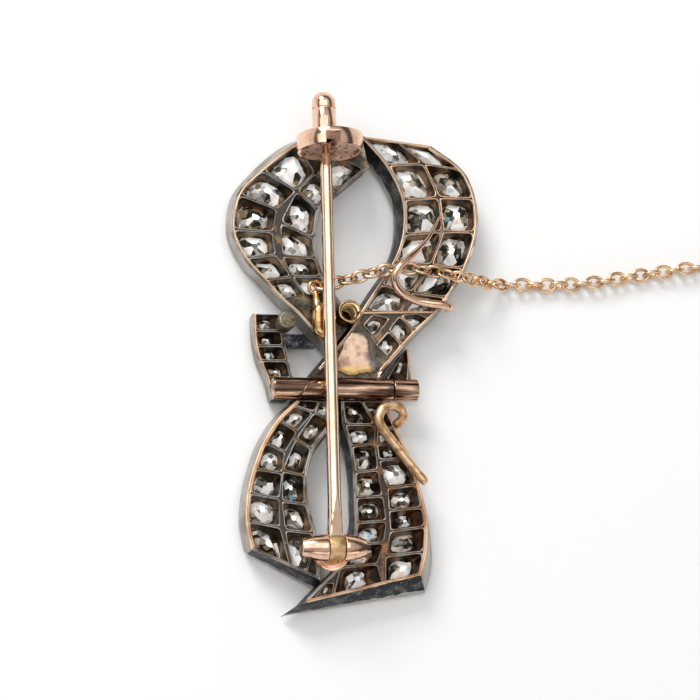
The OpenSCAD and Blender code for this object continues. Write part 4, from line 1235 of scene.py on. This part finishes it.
def make_catch():
    """The drum that holds the pin's tip, and the plunger that locks it."""
    shape = Shape()
    r = DRUM_R
    turned(shape, [
        (0.0, 0), (0.0, r - 0.36), (-0.33, r - 0.33), (-0.36, r - 0.3),
        (-0.35, r - 0.12), (-0.3, r - 0.04), (-0.22, r), (1.12, r), (1.2, r - 0.04),
        (1.25, r - 0.12), (1.25, 0)],
        (DRUM_MIDDLE[0], DRUM_NEAR + DRUM_RECESS, DRUM_MIDDLE[1]), ALONG_Y, 96)
    drum = shape.build("catch_drum", [ROSE, ROUGH_ROSE])
    slot = prism(box(CATCH_X - SLOT_HALF, CATCH_X + SLOT_HALF, DRUM_NEAR - 1, SLOT_END), PIN_Z, 12)
    foot = prism(box(-9, 5, 10, 25), 0, DRUM_FOOT)
    bore = turned_cutter([(0, 0), (0, BORE_R), (9, BORE_R), (9, 0)], (CATCH_X, 16, PIN_Z), 40)
    cut_by(drum, [slot, foot, bore], 30.0)
    middle = placed((DRUM_MIDDLE[0], DRUM_FAR - 0.1, DRUM_MIDDLE[1]))
    for polygon in drum.data.polygons:
        away = math.hypot(polygon.center.x - middle.x, polygon.center.z - middle.z)
        if away < (r - 0.25) * MM and polygon.center.y < middle.y:
            polygon.material_index = 1
    fitted(drum, "catch_drum")

    shape = Shape()
    p = PLUNGER_R
    top = PLUNGER_END - PLUNGER_START
    groove = top - PLUNGER_CAP
    dome = [(top - p + p * math.sin(a), p * math.cos(a))
            for a in (math.pi / 2 * j / 12 for j in range(1, 12))]
    turned(shape, [
        (2.5, 0), (2.5, 0.6), (2.44, PLUNGER_STEM_R), (0.05, PLUNGER_STEM_R), (0.0, 0.72),
        (0.0, p - 0.08), (0.08, p), (groove - 0.05, p), (groove - 0.01, p - 0.02),
        (groove, p - 0.08), (groove + 0.08, p - 0.08), (groove + 0.09, p - 0.02),
        (groove + 0.13, p), (top - p, p)] + dome + [(top, 0)],
        (CATCH_X, PLUNGER_START, PIN_Z), ALONG_Y, 64)
    shape.piece("catch_plunger", [ROSE], 50.0, "plunger")


def make_pin():
    """The pin stem with its knuckle, and the flattened facet at its root."""
    shape = Shape()
    inner, r, w = AXLE_R + 0.04, KNUCKLE_R, KNUCKLE_HALF
    turned(shape, [(-w + 0.02, inner), (-w, inner + 0.05), (-w, r - 0.08), (-w + 0.03, r - 0.02),
                   (-w + 0.09, r), (w - 0.09, r), (w - 0.03, r - 0.02), (w, r - 0.08),
                   (w, inner + 0.05), (w - 0.02, inner), (-w + 0.02, inner)],
           HINGE, ALONG_X, 64, 1)
    along = (Vector((CATCH_X, DRUM_NEAR, PIN_Z)) - HINGE).normalized()
    side = along.cross(UP).normalized()
    lean = (math.sin(FACET_LEAN), math.cos(FACET_LEAN))
    loops = []
    for row in sampled(PIN_STATIONS, 96):
        distance, radius, flat = (float(value) for value in row)
        ring = []
        for a in angles(PIN_SIDES):
            across, rise = math.cos(a), math.sin(a)
            over = max(0.0, across * lean[0] + rise * lean[1] - (1 - flat))
            across -= over * lean[0]
            rise -= over * lean[1]
            ring.append(HINGE + along * distance
                        + max(radius, 0.02) * (across * side + rise * UP))
        loops.append(shape.loop(ring))
    shape.skin(loops, ends=0)
    shape.piece("pin_stem", [PIN_GOLD, KNUCKLE_GOLD], 32.0, "pin")


def make_hinge():
    """The barrel's two lugs, its axle, feet and stepped base."""
    shape = Shape()
    r = LUG_R
    for side, length in ((-1, 2.35), (1, 2.0)):
        profile = [(0, AXLE_R), (0, r - 0.08), (0.03, r - 0.02), (0.1, r)]
        for t in (j / 8 for j in range(1, 9)):
            profile.append((0.1 + (length - 0.16) * t, 0.74 + 0.46 * (1 - t ** 1.7)))
        profile += [(length - 0.02, 0.66), (length, 0.56), (length, 0.0)]
        turned(shape, profile, HINGE + Vector((side * LUG_GAP, 0, 0)), (side, 0, 0), 64)
    axle_half = LUG_GAP + 0.02
    turned(shape, [(-axle_half, 0), (-axle_half, AXLE_R), (axle_half, AXLE_R), (axle_half, 0)],
           HINGE, ALONG_X, 32)
    for side in (-1, 1):
        middle = HINGE.x + side * (LUG_GAP + 0.75)
        shape.upright(box(middle - 0.55, middle + 0.55, HINGE.y - 0.65, HINGE.y + 0.65),
                      (3.24, 4.6))
    x, y = BASE_MIDDLE
    for radius, low_z, high_z in BASE_STEPS:
        chord = math.acos(clipped((BASE_BACK_EDGE - y) / radius))
        arc = [(radius * math.sin(a), radius * math.cos(a))
               for a in (chord + (2 * math.pi - 2 * chord) * j / 48 for j in range(49))]
        shape.skin([shape.loop([(x + dx * share, y + dy * share, z) for dx, dy in arc])
                    for z, share in ((low_z, 1), (high_z - BASE_BEVEL, 1),
                                     (high_z, BASE_TOP_SHARE))], ends=0)
    shape.piece("hinge_barrel", [ROSE], 34.0)


# Tube, socket and stud

TUBE_LEFT = -7.6
TUBE_SEAM = 3.38
TUBE_RIGHT = 5.7
TUBE_SIDES = 56
JOINT_SLANT = 0.683
JOINT_X = -3.95 + (TUBE_Y + 2.88) * JOINT_SLANT
SOCKET_LOW = 1.1
SOCKET_HIGH = 4.6
SOCKET_BORE_R = 0.79
STUD = (-6.15, 2.15, 0)
THREAD_START = 1.5


def tube_ring(shape, x, slant, radius):
    """A ring of the cross tube that leans along X as it goes across."""
    ring = []
    for a in angles(TUBE_SIDES):
        y = radius * math.sin(a)
        ring.append((x + slant * y, TUBE_Y + y, TUBE_Z + radius * math.cos(a)))
    return shape.loop(ring)


def make_tube():
    """The cross tube in two lengths with a slanting joint, and the cap at its right end."""
    r = TUBE_R
    first = JOINT_X - TUBE_LEFT - 0.2
    second = TUBE_SEAM - JOINT_X - 0.2
    # Columns: place along X, slant, radius
    rows = [(TUBE_LEFT + x, 0, radius) for x, radius in
            ((0.16, 0.1), (0.02, 0.13), (0.0, r - 0.1), (0.03, r - 0.03), (0.1, r))]
    rows += [(TUBE_LEFT + 0.1 + first * j / 8, JOINT_SLANT * j / 8, r) for j in range(1, 8)]
    rows += [(JOINT_X + x, JOINT_SLANT, radius) for x, radius in
             ((-0.1, r), (-0.065, r - 0.03), (-0.05, r - 0.13), (0.05, r - 0.13),
              (0.065, r - 0.03), (0.1, r))]
    rows += [(JOINT_X + 0.1 + second * j / 12, JOINT_SLANT * max(0.0, 1 - j / 6), r)
             for j in range(1, 12)]
    rows += [(TUBE_SEAM + x, 0, radius) for x, radius in
             ((-0.1, r), (-0.03, r - 0.03), (0.0, r - 0.1))]
    shape = Shape()
    shape.skin([tube_ring(shape, *row) for row in rows], ends=0)
    shape.piece("cross_tube", [COPPER], 40.0)

    shape = Shape()
    length = TUBE_RIGHT - TUBE_SEAM - 0.06
    turned(shape, [(0, 0), (0, r - 0.1), (0.03, r - 0.03), (0.1, r), (length - 0.14, r),
                   (length - 0.05, r - 0.02), (length, r - 0.1), (length, r - 0.22),
                   (length - 0.08, r - 0.28), (length - 0.08, 0)],
           (TUBE_SEAM + 0.06, TUBE_Y, TUBE_Z), ALONG_X, TUBE_SIDES)
    shape.piece("tube_cap", [COPPER], 40.0)

    shape = Shape()
    blob(shape, Vector((-3.0, TUBE_Y + 0.25, TUBE_Z + 0.86)), (0.75, 0.36, 0.22))
    shape.further_piece("tube_solder", [YELLOW], 80.0)


def blob(shape, middle, half):
    """A small run of solder: a flattened lump with an uneven edge."""
    rows = 12
    loops = []
    for polar in (math.pi * k / rows for k in range(rows + 1)):
        ring = []
        for a in angles(28):
            d = Vector((math.sin(polar) * math.cos(a), math.sin(polar) * math.sin(a),
                        math.cos(polar)))
            swell = 1 + 0.28 * noise.noise(d * 1.8 + Vector((5, 0, 0)))
            ring.append(middle + Vector((d.x * half[0], d.y * half[1], d.z * half[2])) * swell)
        loops.append(ring)
    first = shape.loop(loops[0][:1]) * len(loops[0])
    between = [shape.loop(ring) for ring in loops[1:-1]]
    last = shape.loop(loops[-1][:1]) * len(loops[0])
    shape.skin([first, *between, last])


def make_socket_and_stud():
    """The threaded brass socket, and the stud with its turned rings."""
    shape = Shape()
    low, high, bore = SOCKET_LOW, SOCKET_HIGH, SOCKET_BORE_R
    middle = (*SOCKET, 0)
    turned(shape, [(low, bore), (low, 1.03), (high - 0.06, 1.05), (high - 0.02, 1.04),
                   (high, 1.0), (high, 0.9), (high - 0.03, 0.86), (high - 0.1, 0.83),
                   (high - 0.14, bore)], middle, UP, 64)
    # The bore's wall and the plug at its foot take the dark brass: painted shade inside the socket.
    turned(shape, [(high - 0.14, bore), (low, bore)], middle, UP, 64, 1)
    turned(shape, [(low, 0.0), (low, 0.9), (low + 0.3, 0.9), (low + 0.3, 0.0)], middle, UP, 48, 1)
    shape.piece("threaded_socket", [BRASS, SHADED_BRASS], 40.0)

    shape = Shape()
    profile = [(2.26, 0), (2.26, 0.8), (3.95, 0.82), (4.12, 0.81), (4.2, 0.77), (4.25, 0.7)]
    for radius in (0.62, 0.44, 0.26):
        profile += [(4.25, radius), (4.13, radius - 0.02), (4.13, radius - 0.07),
                    (4.25, radius - 0.09)]
    turned(shape, profile + [(4.26, 0.0)], STUD, UP, 56)
    shape.piece("stud", [STUD_METAL], 45.0)


# Repeated pieces made by node trees


class Tree(Nodes):
    """A geometry tree with named inputs, each with the value it is run with."""

    def __init__(self, name, values):
        super().__init__(bpy.data.node_groups.new(name, "GeometryNodeTree"))
        sides = self.tree.interface
        sides.new_socket("Geometry", in_out="INPUT", socket_type="NodeSocketGeometry")
        self.values = {}
        for label, value in values.items():
            socket = sides.new_socket(label, in_out="INPUT", socket_type="NodeSocketFloat")
            socket.default_value = value
            self.values[socket.identifier] = value
        sides.new_socket("Geometry", in_out="OUTPUT", socket_type="NodeSocketGeometry")
        self.start = self.tree.nodes.new("NodeGroupInput")

    def given(self, label):
        return Term(self, self.start.outputs[label])

    def circle(self, points, radius):
        return self.add("GeometryNodeCurvePrimitiveCircle",
                        {"Resolution": points, "Radius": radius}, mode="RADIUS")

    def made(self, name, base, result, material):
        """Ends the tree, runs it on the base object, and returns a plain mesh object."""
        real = self.add("GeometryNodeRealizeInstances", {"Geometry": result})
        done = self.add("GeometryNodeSetMaterial", {"Geometry": real, "Material": material})
        end = self.tree.nodes.new("NodeGroupOutput")
        self.feed(end.inputs[0], done)
        change = base.modifiers.new("make", "NODES")
        change.node_group = self.tree
        for identifier, value in self.values.items():
            change[identifier] = value
        whole = base.evaluated_get(bpy.context.evaluated_depsgraph_get())
        mesh = bpy.data.meshes.new_from_object(whole)
        mesh.name = name
        base.modifiers.clear()
        bpy.data.objects.remove(base)
        thing = linked(name, mesh)
        close_up(mesh, 50.0)
        return thing


def make_thread():
    """The thread inside the socket: one spiral of fine ridge."""
    tree = Tree("socket_thread", {
        "Thread Radius": 0.82 * MM, "Thread Height": 2.95 * MM, "Turns": 6.0,
        "Ridge": 0.15 * MM})
    radius = tree.given("Thread Radius")
    spiral = tree.add("GeometryNodeCurveSpiral", {
        "Resolution": 40, "Rotations": tree.given("Turns"), "Start Radius": radius,
        "End Radius": radius, "Height": tree.given("Thread Height")})
    ridge = tree.add("GeometryNodeCurveToMesh", {
        "Curve": spiral, "Profile Curve": tree.circle(6, tree.given("Ridge")),
        "Fill Caps": True})
    where = placed((*SOCKET, THREAD_START))
    moved = tree.add("GeometryNodeTransform", {"Geometry": ridge, "Translation": where})
    fitted(tree.made("socket_thread", meshed("points", [(0, 0, 0)], []), moved, LIT_THREAD_GOLD))


CHAIN_ROUTE = [
    [-2.65, 5.45, 3.84], [-0.9, 5.9, 3.86], [0.9, 6.4, 3.95], [2.8, 6.9, 4.1], [4.6, 7.1, 4.32],
    [6.5, 7.0, 4.36], [8.5, 6.7, 4.36], [10.2, 6.4, 4.34], [11.6, 6.3, 3.8], [12.9, 6.35, 2.7],
    [14.2, 6.5, 1.7], [15.5, 6.7, 1.15], [18.0, 6.7, 1.05], [20.9, 6.8, 1.05], [23.7, 7.1, 1.05],
    [26.7, 7.6, 1.05], [29.7, 8.1, 1.05], [33.1, 8.7, 1.05], [36.1, 9.0, 1.05],
]
ROUTE_STEPS = 144
LINK_PITCH = 1.16
LINK_LENGTH = 1.92
LINK_WIDTH = 1.45
LINK_WIRE_R = 0.16
LINK_POINTS = 22
LINK_SIDES = 12
LINK_SWAY = 0.3
SWAY_STEP = 2.3
# From this link on, the links turn by so many degrees each, until one of two lies flat
LAID_FROM = 8
LAID_STEP = 5
HALF_QUARTER = 45


def chain_places():
    """Middles and turns of the links: each about a quarter turn from the last."""
    route = [Vector(p) for p in sampled(CHAIN_ROUTE, ROUTE_STEPS)]
    lengths = [0.0]
    for a, b in zip(route, route[1:]):
        lengths.append(lengths[-1] + (b - a).length)

    def at(distance):
        distance = max(0.0, min(lengths[-1], distance))
        k = max(1, next(n for n, length in enumerate(lengths) if length >= distance))
        share = (distance - lengths[k - 1]) / (lengths[k] - lengths[k - 1])
        return route[k - 1].lerp(route[k], share)

    middles = []
    turns = []
    for i in range(int(lengths[-1] // LINK_PITCH) + 1):
        forward = (at(i * LINK_PITCH + 0.5) - at(i * LINK_PITCH - 0.5)).normalized()
        level = UP.cross(forward).normalized()
        rise = forward.cross(level)
        laid = min(HALF_QUARTER, max(0, (i - LAID_FROM) * LAID_STEP))
        sway = laid * LINK_SWAY * math.sin(SWAY_STEP * i)
        roll = math.radians((-HALF_QUARTER if i % 2 == 0 else HALF_QUARTER) + laid + sway)
        across = math.cos(roll) * level + math.sin(roll) * rise
        normal = forward.cross(across)
        middles.append(at(i * LINK_PITCH))
        turns.append(Matrix((forward, across, normal)).transposed().to_euler())
    return middles, turns


def make_chain():
    """The safety chain: oval links of round wire, one through the next."""
    tree = Tree("chain_links", {
        "Link Length": LINK_LENGTH * MM, "Link Width": LINK_WIDTH * MM,
        "Wire Radius": LINK_WIRE_R * MM})
    wire = tree.given("Wire Radius")
    half_width = tree.given("Link Width") * 0.5
    half_length = tree.given("Link Length") * 0.5
    bend = half_width - wire
    stretch = (half_length - half_width) / bend
    place = tree.add("GeometryNodeInputPosition", {})
    aside = tree.add("ShaderNodeSeparateXYZ", {"Vector": place})
    shift = tree.add("ShaderNodeCombineXYZ", {"X": aside * stretch})
    oval = tree.add("GeometryNodeSetPosition",
                    {"Geometry": tree.circle(LINK_POINTS, bend), "Offset": shift})
    link = tree.add("GeometryNodeCurveToMesh",
                    {"Curve": oval, "Profile Curve": tree.circle(LINK_SIDES, wire)})
    turn = tree.add("GeometryNodeInputNamedAttribute", {"Name": "turn"}, data_type="FLOAT_VECTOR")
    spun = tree.add("FunctionNodeEulerToRotation", {"Euler": turn})
    chain = tree.add("GeometryNodeInstanceOnPoints",
                     {"Points": tree.given("Geometry"), "Instance": link, "Rotation": spun})
    middles, turns = chain_places()
    base = meshed("points", middles, [])
    store = base.data.attributes.new("turn", "FLOAT_VECTOR", "POINT")
    store.data.foreach_set("vector", [angle for turn in turns for angle in turn])
    fitted(tree.made("safety_chain", base, chain, CHAIN_GOLD), "safety_chain")


# Wires

UPPER_HOOK = [
    [9.1, 3.75, 3.1], [8.95, 3.7, 3.9], [8.2, 3.85, 4.15], [7.1, 3.95, 4.15], [5.8, 4.15, 4.2],
    [4.6, 4.6, 4.5], [3.75, 5.3, 5.0], [3.5, 6.1, 5.5], [3.95, 6.9, 5.75], [4.95, 7.8, 5.6],
    [6.05, 8.8, 5.2], [7.2, 10.1, 4.7], [8.35, 12.1, 4.3],
]
LOWER_HOOK = [
    [3.7, -7.05, 3.6], [4.02, -6.8, 3.9], [4.12, -6.35, 4.12], [3.8, -5.85, 4.22],
    [3.0, -5.6, 4.3], [2.15, -5.95, 4.4], [1.75, -6.8, 4.4], [2.1, -7.7, 4.2], [3.0, -8.8, 4.0],
    [4.1, -10.2, 3.9], [5.0, -11.3, 3.85], [5.8, -12.3, 3.85],
]
HOOK_STEPS = 96
RING_MIDDLE = (-2.74, 2.2, 3.84)
RING_SIDE = 1.3
EYE_MIDDLE = (-3.45, 5.25, 3.82)
SAFETY_EYE_R = 0.6
SAFETY_EYE_WIRE_R = 0.2
SAFETY_EYE_RISE = 0.81
SAFETY_LENGTH = 6.3
SAFETY_BEND_R = 0.85
SAFETY_BASE = 0.3
CLASP_HALF = Vector((0.7, 1.3, 0.36))


def make_hooks():
    """The two hand-bent hooks."""
    for name, path, start, end, finish, slot in (
            ("upper_hook", UPPER_HOOK, 0.38, 0.1, ROSE, "rose_gold"),
            ("lower_hook", LOWER_HOOK, 0.45, 0.4, HOOK_GOLD, "yellow_gold")):
        shape = Shape()
        radii = [start + (end - start) * (k / HOOK_STEPS) ** 4 for k in range(HOOK_STEPS + 1)]
        drawn_wire(shape, sampled(path, HOOK_STEPS), radii, 20)
        shape.piece(name, [finish], 60.0)


def make_bolt_ring():
    """The bolt ring with its neck and eye."""
    shape = Shape()
    drawn_wire(shape, oblong(RING_MIDDLE, 0.55, RING_SIDE), [0.52] * 64, 24, True)
    x, y, z = EYE_MIDDLE
    start = Vector((x + 0.12, RING_MIDDLE[1] + RING_SIDE, z))
    neck = [start.lerp(Vector((x, y - 0.5, z)), k / 10) for k in range(11)]
    radii = [0.5 - 0.22 * math.sin(math.pi * min(1, k / 8) / 2) for k in range(11)]
    drawn_wire(shape, neck, radii, 20)
    drawn_wire(shape, oblong(EYE_MIDDLE, 0.56, 0.04), [0.17] * 64, 16, True)
    shape.piece("bolt_ring", [YELLOW], 60.0)


def make_safety_pin():
    """The closed pin at the chain's free end, with an upright eye for the last link."""
    middles, _ = chain_places()
    last = middles[-1]
    link_end = last.x + LINK_LENGTH / 2 - 2 * LINK_WIRE_R - 0.1
    eye = Vector((link_end - SAFETY_EYE_WIRE_R + SAFETY_EYE_R, last.y,
                  SAFETY_BASE + SAFETY_EYE_RISE))
    middle_x = eye.x + SAFETY_EYE_R + SAFETY_BEND_R + SAFETY_LENGTH / 2 - 0.1
    shape = Shape()
    loops = []
    for p in circled(eye, SAFETY_EYE_R, UP, ALONG_X, 48):
        loops.append(shape.loop(circled(p, SAFETY_EYE_WIRE_R, (p - eye).normalized(), ALONG_Y, 14)))
    shape.skin(loops)
    shape.strip(loops[-1], loops[0])
    drawn_wire(shape, oblong((middle_x, last.y, SAFETY_BASE + 0.37), SAFETY_BEND_R, SAFETY_LENGTH,
                             96, math.pi / 2), [0.28] * 96, 16, True)
    half = CLASP_HALF
    middle = Vector((middle_x + SAFETY_LENGTH / 2 + half.x, last.y, SAFETY_BASE + 0.38))
    rings = []
    for share, rise in ((0.9, -1.0), (1.0, -0.8), (1.0, 0.6), (0.94, 0.85), (0.8, 1.0)):
        around = [rounded(a, 0.45) for a in angles(48)]
        rings.append(shape.loop([
            middle + Vector((half.x * share * c, half.y * share * s, half.z * rise))
            for c, s in around]))
    shape.skin(rings, ends=0)
    shape.piece("safety_pin", [CHAIN_GOLD], 50.0)


# Outline of the solder wash, and the point that its upper edge shrinks to, as x and y
WASH = [[-1.6, -1.3], [-1.0, 0.0], [-0.4, 1.0], [0.2, 1.2], [0.75, 1.1], [1.15, 0.5],
        [1.4, -0.3], [1.5, -0.9], [1.5, -1.4], [2.0, -1.5], [2.15, -1.9], [1.7, -2.3],
        [0.6, -2.6], [-0.8, -2.6], [-1.6, -2.3]]
WASH_MIDDLE = (0.1, -0.8)
WASH_EDGE = OVER_BACK + 0.06
WASH_TOP = OVER_BACK + 0.07


def make_solder():
    """The wash of solder on the crossing, and the bar that joins the knot to the band."""
    uneven = []
    for p in sampled(WASH + WASH[:1], 90)[:-1]:
        shift = noise.noise_vector(Vector((p[0] * 2.2, p[1] * 2.2, 3.1))) * 0.16
        uneven.append((p[0] + shift[0], p[1] + shift[1]))
    mx, my = WASH_MIDDLE
    inner = [(mx + (x - mx) * 0.93, my + (y - my) * 0.93) for x, y in uneven]
    shape = Shape()
    loops = [shape.loop([(x, y, z) for x, y in outline]) for outline, z in
             ((uneven, OVER_BACK - 0.1), (uneven, OVER_BACK + 0.02), (inner, WASH_EDGE))]
    shape.skin(loops)
    shape.face(loops[0])
    grid = [(x * 0.16 - 1.8, y * 0.16 - 2.9) for x in range(24) for y in range(27)]

    def height(spot, source):
        if source and source[0] < len(inner):
            return WASH_EDGE
        ridge = noise.noise(Vector((spot[0] * 2.4, spot[1] * 2.4, 1.7)))
        thick = 0.1 * clipped((-1.3 - spot[1]) / 0.5)
        return WASH_TOP + thick + 0.03 * ridge

    filled(shape, [inner], height, 0, [p for p in grid if inside(inner, p)])
    shape.further_piece("solder_patch", [SOLDER], 80.0)

    shape = Shape()
    cx, cy = np.mean(np.array(KNOT_BAR), axis=0)
    shrunk = [(cx + (x - cx) * 0.96, cy + (y - cy) * 0.92) for x, y in KNOT_BAR]
    shape.skin([shape.loop([(x, y, KNOT_BACK - drop) for x, y in outline]) for outline, drop in
                ((KNOT_BAR, 0.9), (KNOT_BAR, 0.05), (shrunk, 0.01))], ends=0)
    shape.further_piece("knot_bar", [DARK])


# Studio

TABLE_HALF = 3.0
TENT_STRENGTH = 0.9
# The light tent's brightness from the table's level up to its top, with a dark seam
TENT_SEAM = [(0.0, 0.95), (0.28, 0.9), (0.38, 0.1), (0.62, 0.1), (0.72, 0.6), (1.0, 0.65)]
# Soft lights. Columns: place in metres, width, depth, power in watts.
LIGHTS = [
    ((-0.14, 0.06, 0.42), 0.7, 0.34, 0.85),
    ((-0.22, 0.34, 0.3), 0.2, 0.2, 1.5),
    ((0.1, -0.4, 0.24), 0.5, 0.12, 0.25),
]
CAMERA_TARGET = Vector((-17.25, 0.4, 1.7)) * MM
CAMERA_WAY = Vector((-0.24458, -0.23517, 0.94068)).normalized()
CAMERA_RIGHT = Vector((0.96945, -0.04070, 0.24188)).normalized()
CAMERA_DISTANCE = 0.28


def aimed(thing, where, across, away):
    """Places a lamp or camera, with its X along across and its back to away."""
    turn = Matrix((across, away.cross(across), away)).transposed().to_4x4()
    thing.matrix_world = Matrix.Translation(where) @ turn


def make_studio():
    """A pale table, a broad soft light overhead, and a camera over the brooch's lower left."""
    size = TABLE_HALF
    mesh = bpy.data.meshes.new("table_top")
    mesh.from_pydata([(-size, -size, 0), (size, -size, 0), (size, size, 0), (-size, size, 0)], [],
                     [(0, 1, 2, 3)])
    mesh.materials.append(table_top())
    linked("table_top", mesh)

    world = bpy.data.worlds.new("studio")
    bpy.context.scene.world = world
    world.use_nodes = True
    tent = Nodes(world.node_tree)
    sky = tent.add("ShaderNodeTexCoord", {}, "Generated")
    rise = tent.add("ShaderNodeSeparateXYZ", {0: sky}, "Z")
    glow = tent.ramp(rise, [(where, (light, light * 0.99, light * 0.97, 1))
                            for where, light in TENT_SEAM])
    background = tent.tree.nodes["Background"]
    tent.feed(background.inputs["Color"], glow)
    tent.feed(background.inputs["Strength"], TENT_STRENGTH)

    for number, (where, width, depth, power) in enumerate(LIGHTS):
        lamp = bpy.data.lights.new(f"soft_light_{number}", "AREA")
        lamp.shape = "RECTANGLE"
        lamp.size = width
        lamp.size_y = depth
        lamp.energy = power
        away = Vector(where).normalized()
        across = (ALONG_X - away * away.x).normalized()
        aimed(linked(lamp.name, lamp), Vector(where), across, away)

    lens = bpy.data.cameras.new("photo_camera")
    lens.lens = 160.0
    lens.sensor_width = 36.0
    lens.clip_start = 0.01
    camera = linked("photo_camera", lens)
    aimed(camera, CAMERA_TARGET + CAMERA_WAY * CAMERA_DISTANCE, CAMERA_RIGHT, CAMERA_WAY)
    bpy.context.scene.camera = camera
    bpy.context.scene.view_settings.view_transform = "Standard"


make_studio()
make_bow()
make_catch()
make_pin()
make_hinge()
make_tube()
make_socket_and_stud()
make_thread()
make_chain()
make_hooks()
make_bolt_ring()
make_safety_pin()
make_solder()
